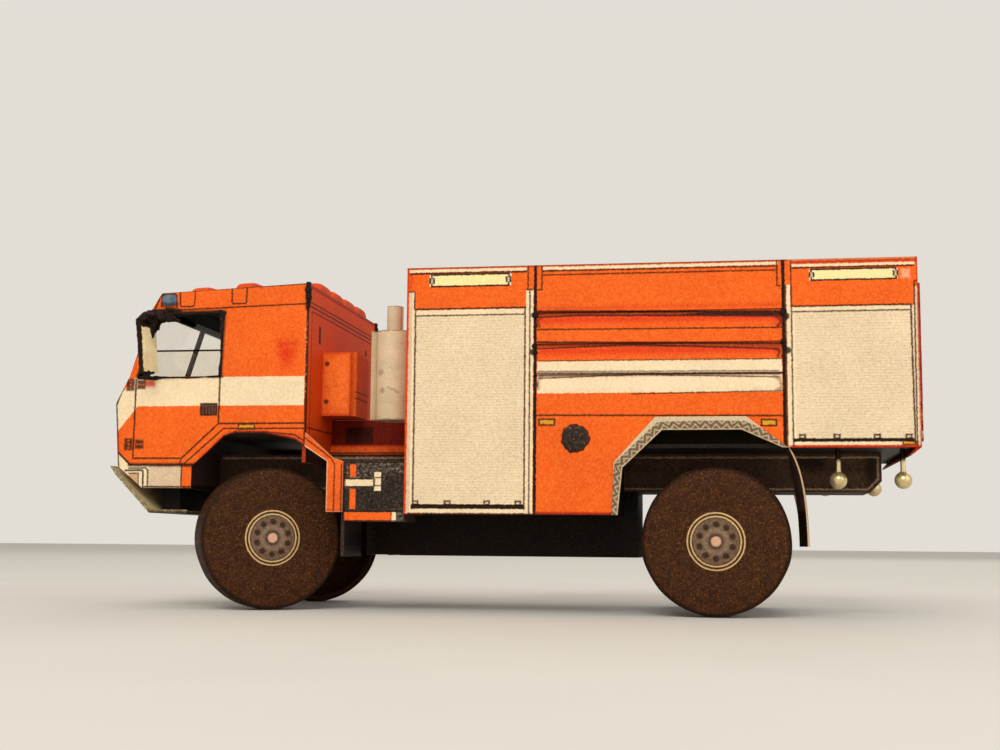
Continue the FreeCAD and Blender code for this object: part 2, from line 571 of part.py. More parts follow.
# Behind each front wheel the printed arch band runs on into an upright strip
STRIP_FRONT = f"({FRONT_AXLE} + wheel_radius + fender_gap)"
fender = ((CAB_REAR, f"{ARCH_TOP} - arch_drop"), (STRIP_FRONT, "fender_knee"), (STRIP_FRONT, "fender_foot"),
          (f"{STRIP_FRONT} + fender_width", "fender_foot"), (f"{STRIP_FRONT} + fender_width", "fender_knee"),
          (f"{STRIP_FRONT} + fender_width / 3", "fender_knee + card"), (CAB_REAR, ARCH_TOP))
for side, hand, turn in SIDES:
    keep(cut_card("front_fender_strip_" + side, "XZ", [fender], "card", ("0", side_place(side), "0")),
         "front_fender_" + side)

# ---------------------------------------------------------------- bumper
KINK = f"({FRONT} + bumper_card * 2)"
HEEL = f"({KINK} + bumper_rake)"
BUMPER_END = f"({FRONT_AXLE} - wheel_radius + bumper_return)"
NOTCH = f"({FRONT_AXLE} - {SWING} - bumper_notch)"
NOTCH_INNER = f"({PIN} - wheel_radius * sin(turned_left) - wheel_width / 2 - bumper_notch)"
bumper_loop = ((FRONT, "nose_foot"), (KINK, "nose_foot - bumper_lip"), (HEEL, "bumper_bottom"),
               (BUMPER_END, "bumper_bottom"), (BUMPER_END, "bumper_bottom + bumper_card"),
               (f"{HEEL} + bumper_card / 2", "bumper_bottom + bumper_card"),
               (f"{KINK} + bumper_card", "nose_foot - bumper_lip + bumper_card / 2"),
               (f"{FRONT} + bumper_card", "nose_foot"))
bumper = cut_card("bumper_fold", "XZ", [bumper_loop], "width", ("0", "width / 2", "0"))


def notch(hand):
    """Outline of a wheel notch in the bumper's lower plate, measured from the bumper's right end."""
    inner = f"({hand}) * {NOTCH_INNER} - width / 2"
    outer = f"({hand}) * (width / 2 - notch_lip) - width / 2"
    return ((NOTCH, inner), (NOTCH, outer), (f"{BUMPER_END} + gap", outer), (f"{BUMPER_END} + gap", inner))


pocket(bumper, "bumper_notches", "XY", [notch(hand) for side, hand, turn in SIDES])
keep(bumper, "bumper")
VALANCE_HALF = "(width / 2 - valance_inset)"
CARRIER_FOOT = "(bumper_bottom + bumper_card)"
keep(block("bumper_carrier", (f"{NOTCH} - {HEEL} - bumper_card", f"2 * {VALANCE_HALF}",
                              f"cab_bottom - {CARRIER_FOOT}"),
           (f"{HEEL} + bumper_card", f"-{VALANCE_HALF}", CARRIER_FOOT)), "bumper_valance")

# ---------------------------------------------------------------- behind the cab
FLAP = f"({FRONT_AXLE} + {SWING} + flap_gap)"
STEP = f"({FLAP} + card)"


def beside(side, inset, depth):
    """Lowest Y of a piece as deep as this, whose outer face is inside the truck's side."""
    return f"-width / 2 + {inset}" if side == "left" else f"width / 2 - {inset} - {depth}"


keep(grouped("front_flaps_pair", [
    block("front_flap_" + side, ("card", "flap_width", "step_top - flap_foot - card"),
          (FLAP, beside(side, "flap_inset", "flap_width"), "flap_foot")) for side, hand, turn in SIDES]),
    "front_mudflaps")
for side, hand, turn in SIDES:
    keep(block("step_box_card_" + side, (f"{BODY_FRONT} - {STEP}", "step_depth", "step_top - step_bottom"),
               (STEP, beside(side, "0", "step_depth"), "step_bottom")), "step_box_" + side)
BETWEEN = f"{BODY_FRONT} - {CAB_REAR}"
keep(block("rear_deck_fold", (BETWEEN, "2 * deck_half", "deck_height"), (CAB_REAR, "-deck_half", FLOOR)),
     "rear_deck")
keep(block("pump_cover_fold", (BETWEEN, "2 * pump_half", "pump_height"), (CAB_REAR, "-pump_half", DECK_TOP)),
     "pump_cover")
AIR_REAR = f"({CAB_REAR} + air_depth)"
AIR_FOOT = f"({DECK_TOP} + pump_height + air_clear)"
air_loop = ((CAB_REAR, "-air_out"), (f"{AIR_REAR} - air_bevel", "-air_out"),
            (AIR_REAR, "-air_out + air_bevel"), (AIR_REAR, "-air_out + air_width"),
            (CAB_REAR, "-air_out + air_width"))
keep(cut_card("air_box_fold", "XY", [air_loop], f"air_top - {AIR_FOOT}", ("0", "0", AIR_FOOT)), "air_box")
SILENCER = (f"{BODY_FRONT} - silencer_radius", "-(width / 2 - silencer_inset)")
keep(tube("silencer_tube", "silencer_radius", "silencer_top - silencer_bottom",
          SILENCER + ("silencer_bottom",)), "silencer")
keep(tube("exhaust_tube", "pipe_radius", "pipe_top - silencer_top", SILENCER + ("silencer_top",)),
     "exhaust_pipe")

# ---------------------------------------------------------------- superstructure
FOOT = f"({REAR_AXLE} - wheel_radius - rear_arch_foot)"
REAR_ARCH_TOP = f"({FLOOR} + rear_arch_rise)"
CORNER = f"({FOOT} + foot_lean + rear_arch_slope)"
ARCH_BACK = f"({CORNER} + rear_arch_flat)"
REAR_ARCH = ((FOOT, "skirt"), (f"{FOOT} + foot_lean", "rear_arch_knee"), (CORNER, REAR_ARCH_TOP),
             (ARCH_BACK, REAR_ARCH_TOP), (f"{ARCH_BACK} + rear_arch_slope", FLOOR))
body_loop = ((BODY_FRONT, "skirt"),) + REAR_ARCH + (
    (REAR, FLOOR), (REAR, "body_top"), (BODY_FRONT, "body_top"))
for side, hand, turn in SIDES:
    panel = cut_card("body_panel_" + side, "XZ", [body_loop], "card", ("0", side_place(side), "0"))
    slats = [((f"({hand}) * (width / 2 + card)", foot), (f"({hand}) * width / 2", foot),
              (f"({hand}) * (width / 2 - slat_depth)", f"{foot} + slat_height"),
              (f"({hand}) * (width / 2 + card)", f"{foot} + slat_height"))
             for foot in ("slat_low", "slat_middle", "slat_high")]
    pressed = cut_card("slats_" + side, "YZ", slats, f"{REAR} - {BODY_FRONT} - bay_front - bay_rear",
                       (f"{BODY_FRONT} + bay_front", "0", "0"))
    keep(less("body_side_pressed_" + side, panel, pressed), "body_side_" + side)
keep(block("body_roof_sheet", (f"{REAR} - {BODY_FRONT}", f"2 * {INSIDE}", "card"),
           (BODY_FRONT, f"-{INSIDE}", "body_top - card")), "body_roof")
keep(block("body_rear_sheet", ("card", f"2 * {INSIDE}", f"body_top - card - {FLOOR}"),
           (f"{REAR} - card", f"-{INSIDE}", FLOOR)), "body_rear_wall")
front_wall = ((f"-{INSIDE}", "skirt"), (f"-{INSIDE} + {LOCKER}", "skirt"), (f"-{INSIDE} + {LOCKER}", FLOOR),
              (f"{INSIDE} - {LOCKER}", FLOOR), (f"{INSIDE} - {LOCKER}", "skirt"), (INSIDE, "skirt"),
              (INSIDE, "body_top - card"), (f"-{INSIDE}", "body_top - card"))
keep(cut_card("body_front_sheet", "YZ", [front_wall], "card", (BODY_FRONT, "0", "0")), "body_front_wall")
keep(block("body_floor_sheet", (f"{REAR} - {BODY_FRONT} - 2 * card", f"2 * {INSIDE}", "card"),
           (f"{BODY_FRONT} + card", f"-{INSIDE}", FLOOR)), "body_floor")


# A folded tray closes each side's lower lockers inside and behind
def locker(side):
    """Floor, inner wall and rear wall of one side's lower lockers."""
    inner = f"-{INSIDE}" if side == "left" else f"{INSIDE} - {LOCKER}"
    wall = f"-{INSIDE} + {LOCKER} - card" if side == "left" else f"{INSIDE} - {LOCKER}"
    start = f"({BODY_FRONT} + card)"
    run, rise = f"{FOOT} - {start}", f"{FLOOR} - skirt"
    return joined("locker_" + side, [
        block(f"locker_{side}_floor", (run, LOCKER, "card"), (start, inner, "skirt")),
        block(f"locker_{side}_wall", (run, "card", rise), (start, wall, "skirt")),
        block(f"locker_{side}_back", ("card", LOCKER, rise), (f"{FOOT} - card", inner, "skirt"))])


keep(grouped("locker_trays", [locker(side) for side, hand, turn in SIDES]), "locker_boxes")

# The tread-plate trim follows the rear arch on the outside
trim_loop = REAR_ARCH + (
    (f"{ARCH_BACK} + rear_arch_slope + trim_foot", FLOOR),
    (f"{ARCH_BACK} + trim_mitre / 2", f"{REAR_ARCH_TOP} + trim"),
    (f"{CORNER} - trim_mitre", f"{REAR_ARCH_TOP} + trim"),
    (f"{FOOT} - trim_foot", "rear_arch_knee + foot_lean"), (f"{FOOT} - trim_foot", "skirt"))
keep(grouped("arch_trims_pair", [
    cut_card("arch_trim_left", "XZ", [trim_loop], "trim_card", ("0", "-width / 2", "0")),
    cut_card("arch_trim_right", "XZ", [trim_loop], "trim_card", ("0", "width / 2 + trim_card", "0"))]),
    "arch_trims")

keep(grouped("filler_caps_pair", [
    tube("filler_cap_" + side, "cap_radius", "cap_proud",
         (f"{REAR_AXLE} - cap_place", beside(side, "(-cap_proud)", "cap_proud"), "cap_height"), "y")
    for side, hand, turn in SIDES]), "filler_caps")

# A rear mudflap is a strip of thin card that curves down from the floor behind the tyre
FLAP_FOOT = f"({REAR_AXLE} + wheel_radius + rear_flap_gap)"
FLAP_BEND = f"({FLOOR} - rear_flap_bend)"
FLAP_MIDDLE = f"(({FLOOR} + rear_flap_foot) / 2)"
curve = ((f"{FLAP_FOOT} - rear_flap_curve", FLOOR), (f"{FLAP_FOOT} - rear_flap_curve / 4", FLAP_BEND),
         (FLAP_FOOT, FLAP_MIDDLE), (FLAP_FOOT, "rear_flap_foot"))
flap_loop = curve + tuple((f"{along} + sheet", up) for along, up in reversed(curve))
keep(grouped("rear_flaps_pair", [
    cut_card("rear_flap_" + side, "XZ", [flap_loop], "rear_flap_width",
             ("0", beside(side, "flap_inset", "rear_flap_width") + " + rear_flap_width", "0"))
    for side, hand, turn in SIDES]), "rear_mudflaps")


def pin(name, along, hand):
    """A dressmaker's pin hung head down from the floor."""
    corner = (along, f"({hand}) * (width / 2 - pin_inset)", "pin_height")
    head = doc.addObject("Part::Sphere", name + "_head")
    head.setExpression("Radius", cells("ball"))
    place(head, corner)
    return joined(name, [head, tube(name + "_wire", "pin_wire", f"{FLOOR} - pin_height", corner)])


pin_ends = (("rear", "(length / 2 - pin_rear)"), ("front", "(length / 2 - pin_rear - pin_pitch)"))
pins = [pin(f"pin_{side}_{end}", along, hand) for side, hand, turn in SIDES for end, along in pin_ends]
keep(grouped("body_pins_group", pins), "body_pins")
keep(grouped("tail_lamps_pair", [
    block("tail_lamp_" + side, ("lamp_proud", "lamp_width", "lamp_height"),
          (REAR, beside(side, "lamp_inset", "lamp_width"), f"{FLOOR} + lamp_rise"))
    for side, hand, turn in SIDES]), "tail_lamps")
TAIL_FOOT = f"({FLOOR} - tail_flap_drop)"
tail_loop = ((REAR, FLOOR), (f"{REAR} - tail_flap", TAIL_FOOT),
             (f"{REAR} - tail_flap", f"{TAIL_FOOT} + sheet"), (f"{REAR} - sheet * 2", FLOOR))
keep(cut_card("tail_flap_fold", "XZ", [tail_loop], f"2 * {INSIDE}", ("0", INSIDE, "0")), "rear_flap")

# ---------------------------------------------------------------- checks and files
doc.recompute()
for thing in doc.Objects:
    if "Invalid" in thing.State or "Error" in thing.State:
        raise RuntimeError(f"{thing.Name} did not build: {thing.State}")
for thing in PARTS:
    if thing.Shape.isNull() or not thing.Shape.isValid():
        raise RuntimeError(f"{thing.Label} has no valid shape")
os.makedirs("parts", exist_ok=True)
for thing in PARTS:
    thing.Shape.exportStep(f"parts/{thing.Label}.step")
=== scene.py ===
# A small hand-made card model of a four-wheel-drive water tanker fire truck: printed card, cut and
# folded by hand, glued, and touched up with black and red ink along its cuts.
import json
import math

import bmesh
import bpy
import numpy as np
from mathutils import Matrix, Vector


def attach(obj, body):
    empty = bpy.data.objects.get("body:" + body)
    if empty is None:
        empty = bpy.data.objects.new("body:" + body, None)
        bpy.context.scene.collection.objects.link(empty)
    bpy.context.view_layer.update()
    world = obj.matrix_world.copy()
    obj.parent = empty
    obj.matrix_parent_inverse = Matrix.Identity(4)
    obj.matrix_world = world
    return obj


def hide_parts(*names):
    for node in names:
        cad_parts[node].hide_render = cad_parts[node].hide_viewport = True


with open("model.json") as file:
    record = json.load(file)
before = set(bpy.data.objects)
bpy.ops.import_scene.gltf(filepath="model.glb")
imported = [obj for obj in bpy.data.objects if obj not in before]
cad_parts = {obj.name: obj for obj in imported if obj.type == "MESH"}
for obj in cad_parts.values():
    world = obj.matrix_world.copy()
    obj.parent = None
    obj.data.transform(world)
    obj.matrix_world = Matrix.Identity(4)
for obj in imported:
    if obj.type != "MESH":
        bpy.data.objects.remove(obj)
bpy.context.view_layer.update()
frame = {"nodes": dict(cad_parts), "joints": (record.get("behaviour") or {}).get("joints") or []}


# Chassis. Two long rails folded from one strip of dark grey printed card, with rivet rows printed
# along their sides. The belly box between the axles and its hangers are plain black inked card.
MM = 0.001


def ink(red, green, blue):
    """A colour as the eye sees it, each part from 0 to 255, made linear for a shader."""
    seen = np.array([red, green, blue]) / 255
    linear = np.where(seen <= 0.04045, seen / 12.92, ((seen + 0.055) / 1.055) ** 2.4)
    return (*[float(part) for part in linear], 1.0)


def add(tree, kind, *inputs, **settings):
    """A new node with its settings, and a value or a linked socket for each of its inputs in turn."""
    node = tree.nodes.new("ShaderNode" + kind)
    for name, value in settings.items():
        setattr(node, name, value)
    for socket, value in zip(node.inputs, inputs):
        if isinstance(value, bpy.types.NodeSocket):
            tree.links.new(value, socket)
        elif value is not None:
            socket.default_value = value
    return node


def calc(tree, operation, *values):
    """The number that a Math node makes of these values."""
    return add(tree, "Math", *values, operation=operation).outputs[0]


def vec(tree, operation, *values):
    """The vector, or for lengths and products the number, that a Vector Math node makes."""
    outputs = add(tree, "VectorMath", *values, operation=operation).outputs
    return outputs[1] if operation in ("LENGTH", "DOT_PRODUCT") else outputs[0]


def mix(tree, factor, under, over, blend="MIX"):
    """Two colours mixed by a factor."""
    node = add(tree, "Mix", factor, data_type="RGBA", blend_type=blend)
    for socket, value in ((node.inputs[6], under), (node.inputs[7], over)):
        if isinstance(value, bpy.types.NodeSocket):
            tree.links.new(value, socket)
        else:
            socket.default_value = value
    return node.outputs[2]


def spread(tree, value, low, high, to_low, to_high, ease="LINEAR"):
    """A value taken from one range to another, held at the ends."""
    return add(tree, "MapRange", value, low, high, to_low, to_high, interpolation_type=ease).outputs[0]


def new_finish(name):
    """A new material, its node tree and its shader."""
    material = bpy.data.materials.new(name)
    material.use_nodes = True
    return material, material.node_tree, material.node_tree.nodes["Principled BSDF"]


def in_mm(tree, coords):
    """The place on the model, in millimetres."""
    return vec(tree, "SCALE", coords["Object"], None, None, 1 / MM)


def emboss(tree, shader, height, depth):
    """Raises the surface by a height of 0 to 1, times a depth in millimetres."""
    bump = add(tree, "Bump", 1.0, depth * MM)
    tree.links.new(height, bump.inputs["Height"])
    tree.links.new(bump.outputs[0], shader.inputs["Normal"])


def new_group(name, inputs, outputs):
    """An empty shader node group: its tree, what comes in and what goes out."""
    tree = bpy.data.node_groups.new(name, "ShaderNodeTree")
    for direction, sockets in (("INPUT", inputs), ("OUTPUT", outputs)):
        for label, kind in sockets:
            tree.interface.new_socket(label, in_out=direction, socket_type="NodeSocket" + kind)
    return tree, tree.nodes.new("NodeGroupInput").outputs, tree.nodes.new("NodeGroupOutput").inputs


ACROSS, UP = (1.0, 0.0, 0.0), (0.0, 1.0, 0.0)

# A printed bar: how far a place is outside a rectangle, in millimetres.
ink_bar, given, made = new_group(
    "ink_bar", (("Place", "Vector"), ("Middle", "Vector"), ("Half", "Vector")), (("Distance", "Float"),))
away = vec(ink_bar, "SUBTRACT", vec(ink_bar, "ABSOLUTE", vec(ink_bar, "SUBTRACT", given[0], given[1])),
           given[2])
sideways, upwards = vec(ink_bar, "DOT_PRODUCT", away, ACROSS), vec(ink_bar, "DOT_PRODUCT", away, UP)
ink_bar.links.new(calc(ink_bar, "MAXIMUM", sideways, upwards), made[0])

# A printed stroke: how far a place is outside a straight line of some width.
ink_stroke, given, made = new_group(
    "ink_stroke", (("Place", "Vector"), ("From", "Vector"), ("Run", "Vector"), ("Half", "Float")),
    (("Distance", "Float"),))
reach = vec(ink_stroke, "SUBTRACT", given[0], given[1])
along = calc(ink_stroke, "DIVIDE", vec(ink_stroke, "DOT_PRODUCT", reach, given[2]),
             vec(ink_stroke, "DOT_PRODUCT", given[2], given[2]))
nearest = vec(ink_stroke, "SCALE", given[2], None, None, spread(ink_stroke, along, 0.0, 1.0, 0.0, 1.0))
gap = vec(ink_stroke, "LENGTH", vec(ink_stroke, "SUBTRACT", reach, nearest))
ink_stroke.links.new(calc(ink_stroke, "SUBTRACT", gap, given[3]), made[0])

# A printed ring or dot: how far a place is outside a circle's line of some width.
ink_ring, given, made = new_group(
    "ink_ring", (("Place", "Vector"), ("Middle", "Vector"), ("Radius", "Float"), ("Half", "Float")),
    (("Distance", "Float"),))
gap = vec(ink_ring, "LENGTH", vec(ink_ring, "SUBTRACT", given[0], given[1]))
gap = calc(ink_ring, "ABSOLUTE", calc(ink_ring, "SUBTRACT", gap, given[2]))
ink_ring.links.new(calc(ink_ring, "SUBTRACT", gap, given[3]), made[0])

# One layer of ink over another, solid inside its marks and soft at their edges.
ink_layer, given, made = new_group(
    "ink_layer", (("Under", "Color"), ("Ink", "Color"), ("Distance", "Float"), ("Soft", "Float"),
                  ("Cover", "Float")), (("Colour", "Color"),))
inside = spread(ink_layer, given[2], given[3], calc(ink_layer, "MULTIPLY", given[3], -1.0), 0.0, 1.0,
                "SMOOTHSTEP")
ink_layer.links.new(mix(ink_layer, calc(ink_layer, "MULTIPLY", inside, given[4]), given[0], given[1]),
                    made[0])

# The card under the ink: a bleed that frays every printed edge, a fine speckle that thins, thickens and
# tints the ink, slow clouds over it, and the fibres' height.
card_grain, given, made = new_group(
    "card_grain", (("Place", "Vector"), ("Bleed", "Float"), ("Speckle", "Float")),
    (("Bled", "Vector"), ("Shade", "Color"), ("Depth", "Float"), ("Height", "Float")))
fray = add(card_grain, "TexNoise", given[0], None, 4.2, 2.0, 0.65).outputs[1]
fray = vec(card_grain, "SUBTRACT", fray, (0.5, 0.5, 0.5))
bled = vec(card_grain, "ADD", given[0], vec(card_grain, "SCALE", fray, None, None, given[1]))
card_grain.links.new(bled, made[0])
fleck, tinge = add(card_grain, "TexNoise", given[0], None, 4.6, 3.0, 0.8).outputs
tinge = vec(card_grain, "MULTIPLY", vec(card_grain, "SUBTRACT", tinge, (0.5, 0.5, 0.5)), (0.4, 1.6, 2.6))
tinge = vec(card_grain, "ADD", vec(card_grain, "SCALE", tinge, None, None, given[2]), (1.0, 1.0, 1.0))
cloud = add(card_grain, "TexNoise", given[0], None, 0.22, 2.0, 0.5).outputs[0]
fleck = calc(card_grain, "MULTIPLY", spread(card_grain, fleck, 0.28, 0.72, -1.0, 1.0), given[2])
cloud = spread(card_grain, cloud, 0.3, 0.7, 0.95, 1.05)
shade = calc(card_grain, "MULTIPLY", calc(card_grain, "MULTIPLY_ADD", fleck, -0.6, 1.0), cloud)
card_grain.links.new(vec(card_grain, "SCALE", tinge, None, None, shade), made[1])
card_grain.links.new(calc(card_grain, "MULTIPLY_ADD", fleck, 2.0, 1.0), made[2])
fibre = add(card_grain, "TexNoise", given[0], None, 6.5, 4.0, 0.7).outputs[0]
card_grain.links.new(fibre, made[3])


def distance_to(tree, place, mark):
    """How far a place is outside one printed mark, in millimetres: a bar by its corners, a frame round
    one, a line through points, a dot, a ring, a convex patch by its corners in turn to the left, stripes
    across an axis, specks scattered by noise, or the overlap or joining of such marks."""
    kind, *values = mark
    if kind == "bar":
        x0, y0, x1, y1 = values
        middle, half = ((x0 + x1) / 2, (y0 + y1) / 2, 0.0), (abs(x1 - x0) / 2, abs(y1 - y0) / 2, 0.0)
        return add(tree, "Group", place, middle, half, node_tree=ink_bar).outputs[0]
    if kind == "frame":
        edge = calc(tree, "ABSOLUTE", distance_to(tree, place, ("bar", *values[1:])))
        return calc(tree, "SUBTRACT", edge, values[0] / 2)
    if kind == "line":
        half, points, nearest = values[0] / 2, values[1:], None
        for (x0, y0), (x1, y1) in zip(points, points[1:]):
            if x0 == x1 or y0 == y1:
                wide, tall = (half if x0 == x1 else 0.0), (half if y0 == y1 else 0.0)
                low, high = (min(x0, x1) - wide, min(y0, y1) - tall), (max(x0, x1) + wide, max(y0, y1) + tall)
                gap = distance_to(tree, place, ("bar", *low, *high))
            else:
                gap = add(tree, "Group", place, (x0, y0, 0.0), (x1 - x0, y1 - y0, 0.0), half,
                          node_tree=ink_stroke).outputs[0]
            nearest = gap if nearest is None else calc(tree, "MINIMUM", nearest, gap)
        return nearest
    if kind in ("dot", "ring"):
        x, y, radius, *width = values
        sizes = (radius, width[0] / 2) if width else (0.0, radius)
        return add(tree, "Group", place, (x, y, 0.0), *sizes, node_tree=ink_ring).outputs[0]
    if kind == "patch":
        furthest = None
        for (x0, y0), (x1, y1) in zip(values, values[1:] + values[:1]):
            long = math.hypot(x1 - x0, y1 - y0)
            across = ((y1 - y0) / long, (x0 - x1) / long, 0.0)
            gap = calc(tree, "SUBTRACT", vec(tree, "DOT_PRODUCT", place, across),
                       x0 * across[0] + y0 * across[1])
            furthest = gap if furthest is None else calc(tree, "MAXIMUM", furthest, gap)
        return furthest
    if kind == "stripes":
        axis, pitch, width, first = values
        along = calc(tree, "SUBTRACT", vec(tree, "DOT_PRODUCT", place, (ACROSS, UP)[axis]), first - pitch / 2)
        wave = calc(tree, "ABSOLUTE", calc(tree, "WRAP", along, pitch / 2, -pitch / 2))
        return calc(tree, "SUBTRACT", calc(tree, "SUBTRACT", pitch / 2, wave), width / 2)
    if kind == "specks":
        scale, level = values
        noise = add(tree, "TexNoise", place, None, scale, 3.0, 0.6).outputs[0]
        return calc(tree, "SUBTRACT", level, noise)
    joined, together = "MAXIMUM" if kind == "both" else "MINIMUM", None
    for inner in values:
        gap = distance_to(tree, place, inner)
        together = gap if together is None else calc(tree, joined, together, gap)
    return together


def bars(*corners):
    """Printed bars, each by two opposite corners."""
    return [("bar", *corner) for corner in corners]


def frames(width, *corners):
    """Printed outlines of one width round bars."""
    return [("frame", width, *corner) for corner in corners]


def lines(width, *paths):
    """Printed lines of one width, each by the two numbers of every point in turn."""
    return [("line", width, *zip(path[::2], path[1::2])) for path in paths]


CARD_CORE = ink(205, 182, 142)
PAPER_WHITE = ink(236, 213, 174)
BLACK_INK = ink(34, 18, 9)
RED_INK = ink(176, 34, 14)


def printed_card(name, plane, ground, layers=(), facing=None, inside=None, edge=CARD_CORE, rough=0.62,
                 bleed=0.17, speckle=0.11, relief=0.018, centre=None, turn=0.0, shine=0.1):
    """A material of printed card. plane names the two axes that the print lies on. Each layer is a colour,
    its softness in millimetres, how well it covers, and its marks. facing is the printed side: an axis,
    with its sign, or "y" for both outer sides. The inside and the cut edges then have their own
    colours. centre and turn put the print on a wheel, in millimetres and degrees."""
    material, tree, shader = new_finish(name)
    coords = add(tree, "TexCoord").outputs
    place = in_mm(tree, coords)
    if centre is not None:
        place = add(tree, "Mapping", place, centre, (0.0, 0.0, math.radians(turn)),
                    vector_type="TEXTURE").outputs[0]
    grain = add(tree, "Group", place, bleed, speckle, node_tree=card_grain).outputs
    split = add(tree, "SeparateXYZ", grain["Bled"]).outputs
    flat = add(tree, "CombineXYZ", split["xyz".index(plane[0])], split["xyz".index(plane[1])], 0.0).outputs[0]
    colour = ground
    for shade, soft, cover, *marks in layers:
        gap = distance_to(tree, flat, ("any", *marks))
        colour = add(tree, "Group", colour, shade, gap, soft, cover, node_tree=ink_layer).outputs[0]
    if facing is not None:
        axis = "xyz".index(facing[-1])
        toward = add(tree, "SeparateXYZ", coords["Normal"]).outputs[axis]
        if facing == "y":
            toward = calc(tree, "MULTIPLY", toward,
                          calc(tree, "SIGN", add(tree, "SeparateXYZ", place).outputs[1]))
        elif facing[0] == "-":
            toward = calc(tree, "MULTIPLY", toward, -1.0)
        cut = edge if inside is None else mix(tree, calc(tree, "LESS_THAN", toward, -0.3), edge, inside)
        colour = mix(tree, calc(tree, "GREATER_THAN", toward, 0.3), cut, colour)
    colour = add(tree, "Gamma", mix(tree, 1.0, colour, grain["Shade"], "MULTIPLY"), grain["Depth"]).outputs[0]
    tree.links.new(colour, shader.inputs["Base Color"])
    tree.links.new(spread(tree, grain["Height"], 0.3, 0.7, rough + 0.08, rough - 0.08),
                   shader.inputs["Roughness"])
    emboss(tree, shader, grain["Height"], relief)
    shader.inputs["Specular IOR Level"].default_value = shine
    return material


def dress(material, *nodes):
    """Puts a material on CAD nodes."""
    for node in nodes:
        frame["nodes"][node].material_slots[0].material = material


rivets = [("both", ("stripes", 0, 1.0, 0.34, 13.7), ("line", 0.34, (x0, z), (x1, z)))
          for x0, x1 in ((2.0, 29.0), (32.0, 39.0)) for z in (15.56, 13.72)]
rail_print = printed_card(
    "rail_card", "xz", ink(72, 51, 38),
    [(ink(98, 74, 56), 0.3, 0.6, ("specks", 0.8, 0.52)),
     (ink(52, 36, 26), 0.12, 0.8, *rivets),
     # The two soft dark bars near the rails' rear end are painted shade.
     (ink(28, 18, 12), 0.5, 0.8, *bars((30.3, 15.6, 34.0, 17.0), (38.4, 14.0, 39.5, 17.0))),
     (ink(186, 156, 122), 0.08, 0.75,
      ("line", 0.17, (-34.0, 16.85), (39.62, 16.85), (39.62, 14.55), (38.55, 13.42), (-34.0, 13.4)))],
    facing="y", inside=ink(52, 40, 32), edge=ink(60, 44, 34), bleed=0.35)
dress(rail_print, "chassis_frame")
black_card = printed_card(
    "inked_black_card", "xz", ink(25, 16, 11),
    [(ink(52, 36, 24), 0.1, 0.5, ("specks", 3.0, 0.58)),
     (ink(12, 8, 6), 0.4, 0.7, ("specks", 0.4, 0.5))],
    rough=0.5)
dress(black_card, "belly_box", "belly_hangers", "bumper_valance", "body_floor", "locker_boxes")


# Axles. Strips of dark card rolled and folded round wire, with card sleeves as king pin knuckles, so
# that the front wheels steer. The pins are plain steel wire.
axle_card = printed_card(
    "rolled_axle_card", "xz", ink(50, 42, 36),
    [(ink(92, 76, 60), 0.15, 0.5, ("specks", 2.4, 0.57)),
     (BLACK_INK, 0.3, 0.7, ("specks", 0.5, 0.55))])
dress(axle_card, "front_axle", "front_axle_saddle", "rear_axle", "rear_axle_saddle", "knuckle_left",
      "knuckle_right")


def metal(name, shade, rough, shade_above=1.0):
    """Bare metal wire: a tinted metal, with fine drawn scratches along it and a few dull patches, painted
    dark as shade above a height in metres."""
    material, tree, shader = new_finish(name)
    coords = add(tree, "TexCoord").outputs
    place = add(tree, "Mapping", coords["Object"], None, None, (9000.0, 9000.0, 1500.0)).outputs[0]
    height = vec(tree, "DOT_PRODUCT", coords["Object"], (0.0, 0.0, 1.0))
    noise = add(tree, "TexNoise", place, None, 1.0, 3.0, 0.6).outputs[0]
    tint = mix(tree, spread(tree, noise, 0.35, 0.7, 0.0, 1.0), shade,
               tuple(0.72 * part for part in shade[:3]) + (1.0,))
    # Above that height the wire is painted dark as shade.
    inked = spread(tree, height, shade_above - 0.2 * MM, shade_above + 0.2 * MM, 0.0, 1.0)
    tree.links.new(mix(tree, inked, tint, ink(46, 30, 18)), shader.inputs["Base Color"])
    tree.links.new(spread(tree, noise, 0.3, 0.7, rough, rough + 0.14), shader.inputs["Roughness"])
    emboss(tree, shader, noise, 0.004)
    shader.inputs["Metallic"].default_value = 1.0
    return material


dress(metal("pin_wire", ink(176, 170, 160), 0.32), "king_pins")


# Wheels. Each tyre is a drum of dark brown paper with a card disc on its outer side, trimmed by hand,
# so its rim is a little uneven and inked black. The hub is a small printed disc let into it.
def grid_shell(points, ring=False):
    """Corners and faces of a closed skin over a grid of points. Every row is a loop. With ring the last
    row meets the first, and otherwise each end is closed by a fan to its middle point."""
    rows = np.asarray(points, float)
    if not ring:
        ends = [np.repeat(row.mean(axis=0)[None], len(row), axis=0) for row in (rows[0], rows[-1])]
        rows = np.concatenate([ends[0][None], rows, ends[1][None]])
    count, loop = rows.shape[:2]
    row, column = np.meshgrid(np.arange(count if ring else count - 1), np.arange(loop), indexing="ij")
    down, right = (row + 1) % count, (column + 1) % loop
    faces = np.stack([row * loop + column, down * loop + column, down * loop + right, row * loop + right], -1)
    return rows.reshape(-1, 3), faces.reshape(-1, 4)


